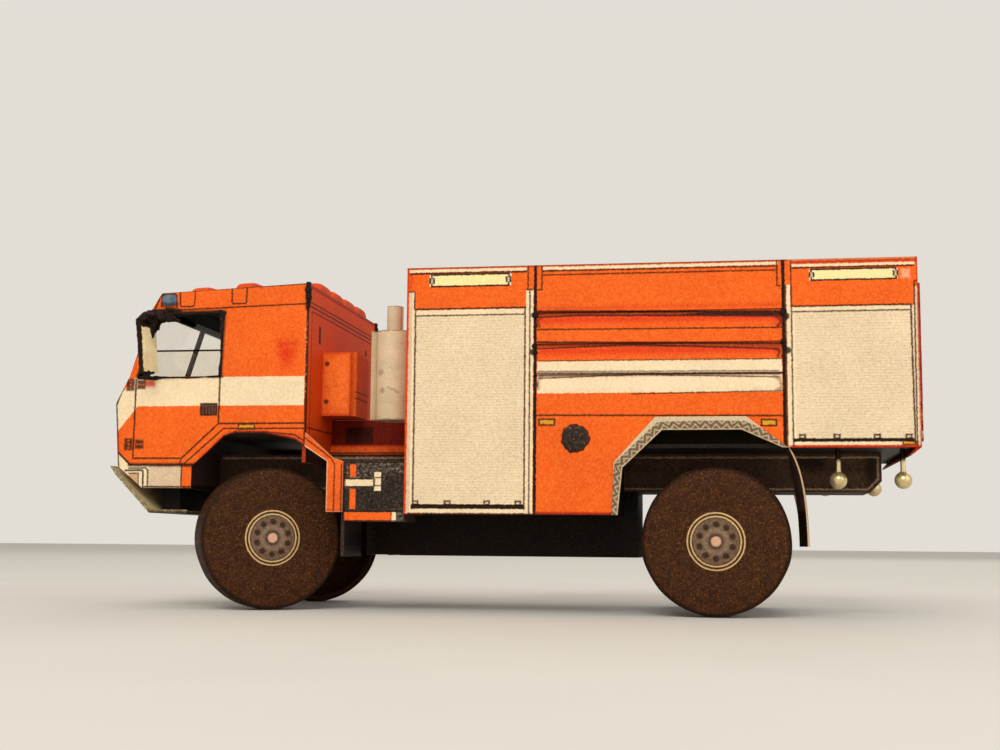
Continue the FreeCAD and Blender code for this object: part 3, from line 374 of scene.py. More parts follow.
def make_piece(name, body, material, shells, stands_for=(), crease=32.0, flow=None):
    """A finished piece from closed skins in millimetres. Double corners are merged, faces are turned
    outwards, and edges sharper than the crease angle stay crisp. flow gives each corner's place along and
    across the piece, kept as its UV map."""
    corners = np.concatenate([shell[0] for shell in shells]) * MM
    starts = np.cumsum([0] + [len(shell[0]) for shell in shells])
    faces = np.concatenate([shell[1] + start for shell, start in zip(shells, starts)])
    mesh = bpy.data.meshes.new(name)
    mesh.from_pydata(corners.tolist(), [], faces.tolist())
    if flow is not None:
        layer = mesh.uv_layers.new(name="along_across")
        index = np.zeros(len(mesh.loops), int)
        mesh.loops.foreach_get("vertex_index", index)
        layer.data.foreach_set("uv", np.asarray(flow, float)[index].ravel())
    shape = bmesh.new()
    shape.from_mesh(mesh)
    bmesh.ops.remove_doubles(shape, verts=shape.verts, dist=0.0004 * MM)
    bmesh.ops.recalc_face_normals(shape, faces=shape.faces)
    shape.to_mesh(mesh)
    shape.free()
    mesh.polygons.foreach_set("use_smooth", [True] * len(mesh.polygons))
    mesh.set_sharp_from_angle(angle=math.radians(crease))
    mesh.materials.append(material)
    piece = bpy.data.objects.new(name, mesh)
    bpy.context.scene.collection.objects.link(piece)
    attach(piece, body)
    if stands_for:
        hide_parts(*stands_for)
    return piece


TYRE_RADIUS, TYRE_BORE, HUB_RADIUS = 7.7, 7.0, 3.0
TYRE_HALF, DISC = 2.3, 0.5
# The drum's section as a loop of places: out along the axle, and from the axle.
TYRE_SECTION = np.array([(TYRE_HALF, HUB_RADIUS), (TYRE_HALF, 5.2), (TYRE_HALF, 7.22),
                         (TYRE_HALF - 0.05, 7.36), (TYRE_HALF - 0.16, 7.5), (TYRE_HALF - 0.32, 7.62),
                         (TYRE_HALF - 0.52, 7.68), (TYRE_HALF - 0.8, TYRE_RADIUS), (0.0, TYRE_RADIUS),
                         (-TYRE_HALF + 0.15, TYRE_RADIUS), (-TYRE_HALF, TYRE_RADIUS - 0.12),
                         (-TYRE_HALF, TYRE_BORE), (0.0, TYRE_BORE), (TYRE_HALF - DISC, TYRE_BORE),
                         (TYRE_HALF - DISC, HUB_RADIUS)])
# How deep the scissors' waves are in each tyre's rim, by the number of waves round it.
RIM_WAVES = {"front_left": {3: 0.05, 8: 0.018, 13: 0.012}, "front_right": {4: 0.04, 7: 0.02, 12: 0.01},
             "rear_left": {5: 0.03, 9: 0.022, 14: 0.012}, "rear_right": {3: 0.03, 10: 0.02, 15: 0.012}}
spins = {joint["child"]: joint for joint in frame["joints"] if joint["name"].endswith("_spin")}

for corner, waves in RIM_WAVES.items():
    spin = spins[corner + "_wheel"]
    centre = np.array(spin["pos_m"]) / MM
    out = np.array(spin["axis"], float) * np.sign(centre[1])
    fore, up = np.cross(out, (0.0, 0.0, 1.0)), np.array([0.0, 0.0, 1.0])
    # The rim: a circle, less waves that leave it whole where it stands on the floor.
    angle = np.linspace(0, 2 * np.pi, 144, endpoint=False)
    worn = sum(deep * (1 - np.cos(number * angle)) for number, deep in waves.items())
    section = TYRE_SECTION[None, :, :]
    rim = np.clip((section[..., 1] - 6.0) / 1.7, 0.0, 1.0) * (section[..., 1] > TYRE_BORE)
    radius = section[..., 1] - rim * worn[:, None]
    turned = radius[..., None] * (np.sin(angle)[:, None, None] * fore - np.cos(angle)[:, None, None] * up)
    drum = grid_shell(centre + turned + section[..., :1] * out, ring=True)
    hand = 1.0 if out[1] > 0 else -1.0
    heading = math.degrees(math.atan2(-hand * out[0], hand * out[1]))
    tyre_paper = printed_card(
        corner + "_tyre_paper", "xz", ink(70, 38, 16),
        [(ink(42, 22, 10), 0.25, 0.8, ("specks", 1.1, 0.5)),
         (ink(138, 92, 46), 0.03, 0.5, ("specks", 6.0, 0.62)),
         (ink(112, 68, 32), 0.05, 0.5, ("specks", 3.0, 0.63)),
         (ink(22, 13, 7), 0.28, 0.85, ("ring", 0.0, 0.0, 7.45, 0.3))],
        rough=0.66, bleed=0.3, speckle=0.1, relief=0.05, centre=tuple(centre), turn=heading)
    make_piece(corner + "_tyre_drum", corner + "_wheel", tyre_paper, [drum], [corner + "_tyre"])
    holes = [("dot", 1.74 * math.cos(turn), 1.74 * math.sin(turn), 0.33)
             for turn in np.radians(17 + 36 * np.arange(10)).tolist()]
    hub_paper = printed_card(
        corner + "_hub_paper", "xz", ink(104, 80, 62),
        [(ink(140, 116, 92), 0.2, 0.55, ("ring", 0.0, 0.0, 1.15, 0.5), ("specks", 2.2, 0.6)),
         (ink(48, 30, 18), 0.12, 0.9, *holes, ("ring", 0.0, 0.0, 2.43, 0.1), ("ring", 0.0, 0.0, 2.72, 0.3),
          ("ring", 0.0, 0.0, 0.68, 0.12)),
         (ink(214, 176, 118), 0.05, 0.95, ("ring", 0.0, 0.0, 2.54, 0.14), ("ring", 0.0, 0.0, 2.9, 0.14)),
         (ink(212, 164, 136), 0.08, 0.95, ("dot", 0.0, 0.0, 0.5))],
        rough=0.6, bleed=0.12, speckle=0.1, centre=tuple(centre), turn=heading)
    dress(hub_paper, corner + "_wheel")
    # The hub's printed disc is glued over the axle's end, its edge pressed down.
    around = np.sin(angle)[:, None] * fore - np.cos(angle)[:, None] * up
    face = grid_shell(np.array([centre + out * (TYRE_HALF + lift) + r * around
                                for r, lift in ((2.97, -0.1), (3.0, 0.02), (2.9, 0.05), (0.6, 0.05))]))
    make_piece(corner + "_hub_disc", corner + "_wheel", hub_paper, [face], (), 50.0)


# Cab. One folded card with its print: an orange truck cab with a white band round it, inked black round
# the cut-out windows, with the doors, hinges, handles and lamps as printed lines.
ORANGE = ink(234, 98, 28)
SEAM = ink(66, 30, 11)
YELLOW = ink(214, 150, 38)
DARK_GREY = ink(64, 54, 46)
BLOTCH = ink(214, 44, 10)
arch_cut = [(-33.6, 15.4), (-31.4, 17.5), (-30.2, 18.66), (-29.0, 19.06), (-25.9, 19.06), (-22.3, 18.31),
            (-21.1, 17.56)]
hinges, hinge_holes = [], []
for z in (17.78, 24.34):
    hinges += bars((-41.66, z - 0.68, -40.7, z + 0.66), (-40.42, z - 0.5, -39.42, z + 0.5))
    hinge_holes += bars((-41.3, z + 0.34, -41.08, z + 0.46), (-41.3, z - 0.46, -41.08, z - 0.34))
    hinge_holes += [("dot", -41.18, z, 0.13), ("dot", -40.2, z + 0.02, 0.1), ("dot", -39.66, z + 0.02, 0.1),
                    *lines(0.1, (-40.22, z, -39.62, z))]
handle = ("bar", -32.95, 20.95, -31.15, 22.15)
cab_side_print = printed_card(
    "cab_side_card", "xz", ORANGE,
    [(RED_INK, 0.55, 0.3, *bars((-24.6, 15.0, -20.9, 19.0), (-43.0, 16.0, -42.1, 21.0))),
     (BLOTCH, 0.7, 0.8, ("bar", -24.3, 28.2, -22.3, 29.0), ("dot", -23.4, 27.6, 0.8)),
     (BLOTCH, 0.9, 0.5, ("bar", -24.0, 26.0, -22.7, 27.9)),
     (PAPER_WHITE, 0.06, 1.0, *bars((-40.5, 21.95, -21.3, 25.1), (-43.2, 12.5, -38.7, 15.45)),
      ("patch", (-40.3, 21.9), (-40.3, 25.1), (-40.75, 25.05), (-43.4, 22.0), (-43.4, 18.1), (-42.4, 19.3)),
      ("patch", (-43.2, 15.4), (-40.93, 15.4), (-42.31, 16.8), (-43.2, 16.8))),
     (ink(214, 188, 156), 0.05, 1.0, ("bar", -38.75, 13.0, -35.0, 15.4)),
     (ink(180, 150, 118), 0.05, 0.25,
      ("both", ("stripes", 0, 0.32, 0.1, -38.4), ("bar", -38.7, 13.0, -35.0, 15.4))),
     (ink(190, 146, 96), 0.08, 0.9, ("bar", -41.0, 13.0, -39.85, 14.66)),
     (ink(216, 66, 30), 0.22, 0.85, ("bar", -39.6, 24.1, -38.35, 24.85)),
     (ink(86, 102, 118), 0.08, 1.0,
      ("patch", (-37.92, 33.1), (-36.15, 33.1), (-36.2, 34.2), (-36.4, 34.4), (-37.6, 34.4),
       (-37.86, 34.1))),
     # The paler dot on the blue beacon is a painted highlight.
     (ink(120, 134, 146), 0.3, 0.55, ("dot", -37.35, 33.9, 0.3)),
     (YELLOW, 0.05, 1.0, ("bar", -28.6, 19.35, -26.8, 19.9)),
     (DARK_GREY, 0.08, 0.95, handle),
     (SEAM, 0.07, 0.96,
      *lines(0.2, (-40.55, 24.9, -40.6, 16.25), (-40.5, 16.23, -35.0, 16.23, -30.9, 20.0, -21.2, 20.0),
                  (-30.88, 25.2, -30.9, 20.0)),
      *lines(0.17, (-34.6, 15.7, -30.3, 19.45, -21.2, 19.45), (-38.9, 32.5, -21.2, 33.04),
                   (-35.8, 35.2, -35.75, 33.15, -35.6, 32.95, -34.2, 32.97, -34.08, 33.2, -34.05, 35.2),
                   (-29.8, 35.4, -29.77, 33.4, -29.62, 33.17, -28.25, 33.19, -28.12, 33.4, -28.08, 35.4),
                   (-25.8, 19.1, -22.3, 18.75, -21.0, 18.0)),
      ("line", 0.16, (-35.0, 16.25), (-35.2, 15.6)),
      ("line", 0.15, (-37.95, 33.0), (-37.9, 34.15), (-37.62, 34.42), (-36.35, 34.42), (-36.18, 34.2),
       (-36.1, 33.0)),
      ("frame", 0.2, *handle[1:]), ("both", ("stripes", 0, 0.36, 0.14, -32.9), handle),
      ("frame", 0.16, -28.6, 19.35, -26.8, 19.9), ("line", 0.22, (-21.17, 17.6), (-21.13, 32.6))),
     (ink(74, 36, 15), 0.14, 0.94, *hinges),
     (ink(226, 92, 40), 0.08, 0.8, *hinge_holes),
     (ink(212, 160, 118), 0.06, 0.7, ("both", ("specks", 2.4, 0.58), ("bar", -21.4, 23.0, -21.05, 31.6))),
     (RED_INK, 0.25, 0.75, ("line", 0.34, *arch_cut)),
     (BLACK_INK, 0.09, 0.95, ("line", 0.24, (-42.4, 16.95), (-40.95, 15.6)),
      ("line", 0.17, (-41.0, 15.14), (-39.05, 15.16), (-38.82, 14.95), (-38.8, 13.0)),
      *lines(0.22, (-41.4, 14.9, -39.5, 14.94, -39.36, 14.8, -39.32, 13.0),
                   (-42.7, 22.2, -38.62, 32.8, -38.1, 34.2, -37.5, 34.56)),
      ("line", 0.12, (-41.0, 14.6), (-39.88, 14.6), (-39.84, 13.0)),
      *lines(0.2, (-39.4, 13.12, -33.8, 13.12), (-42.72, 22.1, -42.35, 16.9, -42.2, 14.9),
                  (-37.6, 34.58, -21.1, 35.3)),
      ("line", 0.16, (-34.93, 15.6), (-34.95, 13.1)), ("line", 0.16, (-33.75, 13.0), *arch_cut)),
     (BLACK_INK, 0.16, 0.95, ("line", 0.4, (-40.95, 15.52), (-33.3, 15.5)),
      ("both", ("stripes", 0, 0.3, 0.18, -38.0), ("bar", -37.95, 32.9, -36.05, 33.4)),
      ("bar", -37.95, 33.05, -36.1, 33.25)),
     (BLACK_INK, 0.22, 1.0, ("patch", (-30.9, 25.1), (-30.66, 25.1), (-30.4, 32.4), (-30.9, 32.4)),
      ("bar", -38.4, 32.05, -30.46, 32.5), ("line", 0.3, (-40.35, 25.1), (-36.2, 25.1)),
      ("line", 0.24, (-36.2, 25.12), (-30.6, 25.15)), ("line", 0.4, (-40.35, 25.3), (-38.0, 32.3)),
      ("patch", (-38.4, 31.9), (-35.2, 32.3), (-36.0, 32.8), (-37.4, 33.0)),
      ("line", 0.34, (-21.2, 32.5), (-21.14, 35.4)))],
    facing="y", inside=ink(52, 24, 14), edge=ink(60, 24, 12))
dress(cab_side_print, "cab_side_left", "cab_side_right")

# The cab's front: windscreens in a black surround, the same white band, and a plain slatted grille.
grille = [("bar", -8.6, 16.3 + 1.1 * row, 8.6, 16.95 + 1.1 * row) for row in range(4)]
lamp_rings = [("ring", side * y, 14.3, 0.62, 0.14) for side in (-1, 1) for y in (10.9, 12.6)]
front_print = printed_card(
    "cab_front_card", "yz", ORANGE,
    [(PAPER_WHITE, 0.06, 1.0,
      *bars((-14.7, 21.9, 14.7, 25.0), (9.8, 13.2, 13.9, 15.4), (-13.9, 13.2, -9.8, 15.4),
            (-4.0, 13.35, 4.0, 14.75))),
     (ink(44, 34, 28), 0.06, 1.0, *grille, *bars((-9.4, 13.2, -4.6, 15.2), (4.6, 13.2, 9.4, 15.2))),
     (ink(206, 186, 156), 0.08, 1.0,
      *[("dot", side * y, 14.3, 0.52) for side in (-1, 1) for y in (10.9, 12.6)]),
     (YELLOW, 0.06, 1.0, *bars((12.6, 16.3, 13.9, 17.1), (-13.9, 16.3, -12.6, 17.1))),
     (SEAM, 0.07, 0.96,
      *frames(0.19, (-9.2, 15.9, 9.2, 20.9), (-13.95, 13.2, -9.7, 15.45), (9.7, 13.2, 13.95, 15.45)),
      ("line", 0.19, (-14.3, 15.85), (14.3, 15.85)), *lamp_rings,
      *frames(0.16, (-4.0, 13.35, 4.0, 14.75), (12.6, 16.3, 13.9, 17.1), (-13.9, 16.3, -12.6, 17.1)),
      *lines(0.16, (-14.2, 33.0, 14.2, 33.0), (-12.0, 21.4, 12.0, 21.4)),
      *[("line", 0.16, (y, 33.0), (y, 34.6)) for y in (-9.0, -3.0, 3.0, 9.0)]),
     (BLACK_INK, 0.12, 1.0, ("frame", 0.5, -13.9, 25.75, 13.9, 32.45), ("bar", -0.55, 25.6, 0.55, 32.6),
      ("line", 0.2, (-14.2, 34.5), (14.2, 34.5)))],
    facing="-x", inside=ink(34, 18, 12), edge=ink(40, 18, 10))
dress(front_print, "cab_front")

# The cab's back wall, orange painted darker as its shade: a belt of two lines, a panel line and a small vent.
back_print = printed_card(
    "cab_back_card", "yz", ink(224, 78, 22),
    [(SEAM, 0.08, 0.95, ("line", 0.19, (-14.4, 32.9), (14.4, 32.9)),
      *lines(0.16, (-14.4, 33.35, 14.4, 33.35), (-13.1, 17.5, -13.1, 32.4, 13.1, 32.4, 13.1, 17.5),
                   (-14.0, 19.6, 14.0, 19.6))),
     (ink(40, 28, 24), 0.1, 1.0, ("bar", -14.6, 15.0, 14.6, 17.35)),
     (ink(44, 30, 22), 0.07, 0.95, *bars((-10.4, 29.2, -9.6, 31.2), (9.6, 29.2, 10.4, 31.2)),
      *lines(0.18, (-14.3, 17.4, -14.3, 35.0), (14.3, 17.4, 14.3, 35.0))),
     (BLACK_INK, 0.2, 0.95, *[("bar", side * 14.25, 32.3, side * 14.9, 35.6) for side in (-1, 1)])],
    facing="x", inside=ink(60, 30, 18), edge=ink(168, 56, 20), bleed=0.25)
dress(back_print, "cab_rear_wall")

# The cab's roof and floor: the roof plain orange with a printed edge, the floor black.
roof_print = printed_card(
    "cab_roof_card", "xy", ORANGE,
    [(SEAM, 0.08, 0.9, ("frame", 0.19, -37.3, -13.9, -21.4, 13.9),
      *frames(0.16, (-26.6, 11.0, -22.6, 13.4), (-26.6, -13.4, -22.6, -11.0)))],
    facing="z", inside=ink(34, 20, 14), edge=ink(176, 60, 22))
dress(roof_print, "cab_roof")
floor_print = printed_card(
    "cab_floor_card", "xy", ink(66, 50, 50),
    [(ink(88, 68, 62), 0.3, 0.5, ("specks", 0.6, 0.52)),
     (BLACK_INK, 0.4, 0.6, ("specks", 0.35, 0.58))])
dress(floor_print, "cab_floor")

# Two folded bows lie across the cab's roof, and four ribs run back from its middle to its rear edge.
# Each is a little box of folded orange card with blunt ends and soft edges.
def folded_box(x0, x1, y0, y1, foot, height):
    """A soft box on a rectangle: height times (1 - |u|^8)^(1/5) (1 - |v|^6)^(1/3), u and v being -1 to 1
    across it, on a sloping line of heights."""
    steps = np.sin(np.linspace(-0.5, 0.5, 29) * np.pi)
    u, v = np.meshgrid(steps, steps, indexing="ij")
    x, y = (x0 + x1) / 2 + (x1 - x0) / 2 * u, (y0 + y1) / 2 + (y1 - y0) / 2 * v
    rise = height * np.clip(1 - abs(u) ** 8, 0, 1) ** 0.2 * np.clip(1 - abs(v) ** 6, 0, 1) ** 0.33
    base = foot[0] + (foot[1] - foot[0]) * (u + 1) / 2
    top, under = np.stack([x, y, base + rise], -1), np.stack([x, y, base - 0.02], -1)
    return grid_shell(np.concatenate([top, under[:, ::-1]], axis=1))


fold_print = printed_card(
    "fold_card", "xy", ink(226, 84, 28),
    [(RED_INK, 0.35, 0.6, ("specks", 0.5, 0.6)),
     (SEAM, 0.08, 0.6, ("stripes", 1, 5.2, 0.14, 2.6))],
    bleed=0.3)
bows = [folded_box(x - 0.9, x + 0.9, -12.6, 12.6, (level, level + 0.07), rise)
        for x, level, rise in ((-34.5, 34.62, 1.3), (-29.3, 34.86, 1.5))]
ribs = [folded_box(-27.9, -21.12, y - 2.1, y + 2.1, (34.96, 35.28), 1.12) for y in (-7.8, -2.6, 2.6, 7.8)]
make_piece("roof_folds", "truck", fold_print, bows + ribs, ["roof_ribs"])


# Windows. Clear film glued inside the cut-outs. The side ones are a low strip that fills the window only
# half way up, with a dark cut edge.
def film(name, tint, rough, rim=None):
    """Clear plastic film: glass with a faint tint, slow ripples and dusty smears, and a dark cut edge
    above the height of its rim."""
    material, tree, shader = new_finish(name)
    place = in_mm(tree, add(tree, "TexCoord").outputs)
    smear = add(tree, "TexNoise", place, None, 0.7, 3.0, 0.55).outputs[0]
    tree.links.new(spread(tree, smear, 0.4, 0.75, rough, rough + 0.04), shader.inputs["Roughness"])
    colour = mix(tree, spread(tree, smear, 0.35, 0.75, 0.0, 1.0), tint, ink(246, 240, 229))
    if rim is not None:
        above = calc(tree, "GREATER_THAN", vec(tree, "DOT_PRODUCT", place, (0.0, 0.0, 1.0)), rim)
        colour = mix(tree, above, colour, ink(58, 40, 26))
    tree.links.new(colour, shader.inputs["Base Color"])
    emboss(tree, shader, smear, 0.0005)
    shader.inputs["Transmission Weight"].default_value = 1.0
    shader.inputs["IOR"].default_value = 1.12
    return material


dress(film("screen_film", ink(250, 246, 238), 0.02), "windscreen_film")
dress(film("door_film", ink(250, 246, 238), 0.02, 28.02), "side_window_films")


# Mirrors. A slip of cream card on each side, turned to face the driver, its rim and its foot thick with
# glossy black ink that has run down its arm into a ragged blob over the window's upper front corner.
def plate(outline, thick, place):
    """A thin plate from an outline of points, carried through its thickness with a rounded rim. place
    turns (across, up, through) into x, y, z."""
    shape = np.asarray(outline, float)
    steps = np.linspace(0, 1, 9)[:-1]
    ends = np.roll(shape, -1, axis=0)
    loop = (shape[:, None] * (1 - steps)[None, :, None] + ends[:, None] * steps[None, :, None]).reshape(-1, 2)
    middle = loop.mean(axis=0)
    out = (loop - middle) / np.maximum(np.linalg.norm(loop - middle, axis=1, keepdims=True), 1e-6)
    levels = [(-0.5, -0.05), (-0.42, 0.0), (0.42, 0.0), (0.5, -0.05)]
    rows = [np.c_[loop + out * shrink, np.full(len(loop), thick * level)] for level, shrink in levels]
    return grid_shell(place(np.array(rows)))


def ink_run(path, radii, seed):
    """A run of thick ink along a path: rings whose radius wanders with waves of the angle a and the run s,
    1 + 0.14 sin(3a + 9s) + 0.1 sin(5a - 14s) + 0.1 sin(23s) + 0.07 sin(2a + 57s), shifted by the seed."""
    spine, stops = np.asarray(path, float), np.linspace(0, 1, len(path))
    share = np.linspace(0, 1, 57)
    points = np.stack([np.interp(share, stops, spine[:, axis]) for axis in range(3)], -1)
    points[1:-1] = (points[:-2] + 2 * points[1:-1] + points[2:]) / 4
    heading = np.gradient(points, axis=0)
    beside = np.cross(heading, (0.35, 0.9, 0.25))
    above = np.cross(beside, heading)
    beside, above = (line / np.linalg.norm(line, axis=1, keepdims=True) for line in (beside, above))
    turn, run = np.meshgrid(np.linspace(0, 2 * np.pi, 28, endpoint=False), share)
    lumps = (1 + 0.14 * np.sin(3 * turn + 9 * run + seed) + 0.1 * np.sin(5 * turn - 14 * run + 2 * seed) +
             0.1 * np.sin(23 * run + seed) + 0.07 * np.sin(2 * turn + 57 * run + seed))
    size = (np.interp(share, stops, radii)[:, None] * lumps)[..., None]
    return grid_shell(points[:, None] + size * (np.cos(turn)[..., None] * beside[:, None] +
                                                np.sin(turn)[..., None] * above[:, None]))


def side_run(side, path, radii, seed):
    """A run of ink on one side of the truck, -1 for the left."""
    return ink_run([(x, side * y, z) for x, y, z in path], radii, seed)


mirror_print = printed_card(
    "cream_mirror_card", "yz", ink(250, 230, 182),
    [(ink(206, 176, 124), 0.3, 0.4, ("specks", 0.9, 0.55)),
     (BLACK_INK, 0.12, 1.0, *[("bar", side * 17.45, 24.0, side * 18.0, 32.0) for side in (-1, 1)],
      *[("bar", side * 14.6, 30.4, side * 18.0, 32.0) for side in (-1, 1)])],
    bleed=0.5)
# The glossy ink's light brown specks are painted highlights.
gloss_ink = printed_card(
    "gloss_ink", "xz", ink(20, 11, 6),
    [(ink(96, 62, 34), 0.1, 0.5, ("specks", 3.6, 0.64)),
     (ink(58, 18, 9), 0.2, 0.35, ("specks", 0.9, 0.6))],
    rough=0.46, relief=0.12, shine=0.16)
TURN = math.radians(16.0)
plates, runs = [], []
for side in (-1, 1):
    def upright(rows, side=side):
        """Across the truck, up, and back from the mirror's plane, which is turned about its middle."""
        across = rows[..., 0] - 16.4
        return np.stack([-38.6 - across * math.sin(TURN) + rows[..., 2] - 0.09 * (rows[..., 1] - 28.3),
                         side * (16.4 + across * math.cos(TURN)), rows[..., 1]], -1)
    plates.append(plate([(15.0, 25.55), (17.7, 25.5), (17.8, 31.3), (16.2, 31.5), (15.05, 31.3)], 0.3,
                        upright))
    for path, radii, seed in (
            ([(-39.3, 17.32, 31.0), (-38.9, 16.8, 31.5), (-38.3, 15.7, 31.75), (-37.5, 14.95, 31.8),
              (-36.6, 14.75, 31.75), (-35.7, 14.68, 31.35)], (0.3, 0.55, 0.72, 0.7, 0.45, 0.08), 2),
            ([(-38.35, 15.9, 31.4), (-38.4, 15.75, 30.4), (-38.4, 15.75, 29.3)], (0.6, 0.42, 0.1), 5),
            ([(-38.2, 15.3, 31.7), (-38.1, 15.1, 31.0), (-38.05, 15.0, 30.3)], (0.5, 0.34, 0.1), 8),
            ([(-37.3, 14.8, 31.9), (-36.9, 14.7, 32.4), (-36.7, 14.66, 32.6)], (0.5, 0.3, 0.1), 6),
            ([(-39.35, 17.4, 31.2), (-39.1, 17.54, 28.4), (-38.75, 17.48, 25.6)], (0.26, 0.17, 0.2), 1),
            ([(-38.95, 17.42, 25.6), (-38.5, 16.5, 25.35), (-38.0, 15.0, 25.8)], (0.22, 0.36, 0.08), 3)):
        runs.append(side_run(side, path, radii, seed))
make_piece("mirror_plates", "truck", mirror_print, plates, ["mirrors"])
make_piece("mirror_ink", "truck", gloss_ink, runs, (), 60.0)

# The same ink has dried in ragged beads round the side windows' cut edges and down the cab's rear corners.
CAB_RUNS = (
    ([(-40.4, 14.64, 25.15), (-38.6, 14.64, 25.02), (-37.4, 14.62, 25.12), (-36.0, 14.6, 25.08)],
     (0.18, 0.24, 0.12, 0.09), 4),
    ([(-36.2, 14.6, 25.1), (-34.4, 14.6, 25.05), (-32.6, 14.6, 25.12), (-30.75, 14.6, 25.18)],
     (0.09, 0.12, 0.07, 0.19), 9),
    ([(-30.8, 14.5, 32.3), (-30.86, 14.48, 30.0), (-30.82, 14.48, 27.6), (-30.9, 14.5, 25.15)],
     (0.34, 0.2, 0.16, 0.22), 7),
    ([(-36.5, 14.6, 32.15), (-34.0, 14.56, 32.2), (-30.8, 14.52, 32.25)], (0.3, 0.16, 0.26), 11),
    ([(-21.14, 14.58, 35.42), (-21.1, 14.62, 34.6), (-21.08, 14.62, 33.6), (-21.12, 14.6, 32.2)],
     (0.22, 0.34, 0.3, 0.1), 12))
cab_runs = [side_run(side, *run) for side in (-1, 1) for run in CAB_RUNS]
make_piece("cab_ink", "truck", gloss_ink, cab_runs, (), 60.0)


# Belly nose. One more folded box of the same black card stands in front of the belly box, under the
# frame and close behind the front flaps.
def carried(rows):
    """Along the truck, up, and across from its middle."""
    return np.stack([rows[..., 0], rows[..., 2], rows[..., 1]], -1)


nose = plate([(-16.9, 5.95), (-12.95, 5.95), (-12.95, 10.85), (-16.9, 10.85)], 7.9, carried)
make_piece("belly_nose", "truck", black_card, [nose], ())


# Bumper. One strip of pale card folded twice, a face that leans back below the nose and a floor behind
# it, with its cut edges touched with black.
bumper_print = printed_card(
    "olive_bumper_card", "yz", ink(216, 198, 148),
    [(ink(186, 160, 110), 0.4, 0.5, ("specks", 0.6, 0.52)),
     (BLACK_INK, 0.25, 0.95, ("bar", -15.0, 10.0, 15.0, 10.55)),
     (ink(60, 46, 30), 0.1, 0.8, ("line", 0.12, (-14.5, 15.3), (14.5, 15.3)),
      *lines(0.16, (-14.62, 10.0, -14.62, 15.5), (14.62, 10.0, 14.62, 15.5)))],
    rough=0.5, bleed=0.6)
dress(bumper_print, "bumper")


# Front wings, steps and mudflaps. The wing's strip hangs from the cab behind the front wheel, its cut
# edges left pale; the step box behind it is printed as tread plate with two orange posts.
wing_print = printed_card(
    "wing_card", "xz", ink(232, 98, 34),
    [(SEAM, 0.08, 0.9,
      *lines(0.16, (-17.75, 10.5, -17.75, 15.6, -18.1, 16.2, -21.1, 18.4), (-16.95, 10.5, -16.95, 15.6))),
     (ink(222, 190, 148), 0.07, 0.9, ("line", 0.16, (-18.6, 10.5), (-18.6, 15.9), (-21.1, 17.55)),
      ("line", 0.12, (-18.6, 10.5), (-16.8, 10.5))),
     (RED_INK, 0.25, 0.55, ("bar", -18.7, 10.4, -16.7, 10.75), ("specks", 0.7, 0.66))],
    facing="y", inside=ink(40, 28, 22), edge=ink(214, 182, 140))
dress(wing_print, "front_fender_left", "front_fender_right")

step_print = printed_card(
    "step_card", "xz", ink(92, 78, 66),
    [(ink(40, 32, 27), 0.07, 0.9, ("specks", 2.6, 0.47), ("specks", 0.9, 0.6)),
     (ink(150, 134, 116), 0.05, 0.7, ("specks", 4.2, 0.6)),
     (ink(30, 22, 18), 0.3, 0.75, *bars((-16.7, 10.7, -10.0, 13.1), (-12.3, 10.7, -10.0, 14.6))),
     (ORANGE, 0.05, 1.0,
      *bars((-16.0, 14.2, -15.35, 15.55), (-16.0, 10.8, -15.35, 12.95), (-16.63, 9.5, -11.45, 10.5))),
     (PAPER_WHITE, 0.05, 1.0,
      *bars((-16.63, 13.2, -13.3, 14.0), (-13.4, 12.7, -12.55, 14.8), (-11.4, 9.5, -10.85, 10.5))),
     (BLACK_INK, 0.05, 0.95,
      *frames(0.12, (-16.7, 13.2, -13.3, 14.0), (-13.4, 12.7, -12.55, 14.8), (-16.6, 9.6, -10.85, 10.55)),
      *lines(0.12, (-13.4, 14.15, -12.55, 14.15), (-13.4, 13.3, -12.55, 13.3)),
      ("frame", 0.14, -16.55, 10.62, -10.1, 15.8), ("line", 0.1, (-11.42, 9.5), (-11.42, 10.6)))],
    facing="y", inside=BLACK_INK, edge=ink(70, 58, 48))
dress(step_print, "step_box_left", "step_box_right")

flap_card = printed_card(
    "front_flap_card", "yz", ink(44, 34, 32),
    [(ink(70, 54, 50), 0.3, 0.6, ("specks", 0.5, 0.52)),
     (ink(20, 14, 12), 0.5, 0.7, ("bar", -15.0, 5.0, 15.0, 8.4))],
    facing="x", inside=ink(30, 23, 21), edge=ink(52, 40, 34), rough=0.5)
dress(flap_card, "front_mudflaps")


def folded_strip(path, thick, low, high, skew):
    """A strip of card along a path in the x-z plane, from its inner edge to its outer one: the path set
    off by half its thickness each way, closed round as a loop, and carried across the truck with its
    edges a little rounded. skew carries the inner edge forward, the more the lower it hangs."""
    line = np.asarray(path, float)
    slope = np.gradient(line, axis=0)
    normal = np.c_[-slope[:, 1], slope[:, 0]] / np.linalg.norm(slope, axis=1, keepdims=True)
    stations = [(low, 0.7), (low + 0.04, 1.0)] + [(low + (high - low) * share, 1.0) for share in
                                                  (0.2, 0.4, 0.6, 0.8)] + [(high - 0.04, 1.0), (high, 0.7)]
    rows = []
    for y, full in stations:
        pull = skew * (high - y) * np.clip((line[0, 1] - line[:, 1]) / 2.5, 0, 1)
        loop = np.concatenate([line + normal * thick / 2 * full, (line - normal * thick / 2 * full)[::-1]])
        rows.append(np.c_[loop[:, 0] - np.r_[pull, pull[::-1]], np.full(len(loop), y), loop[:, 1]])
    return strip_shell(np.array(rows), len(line))


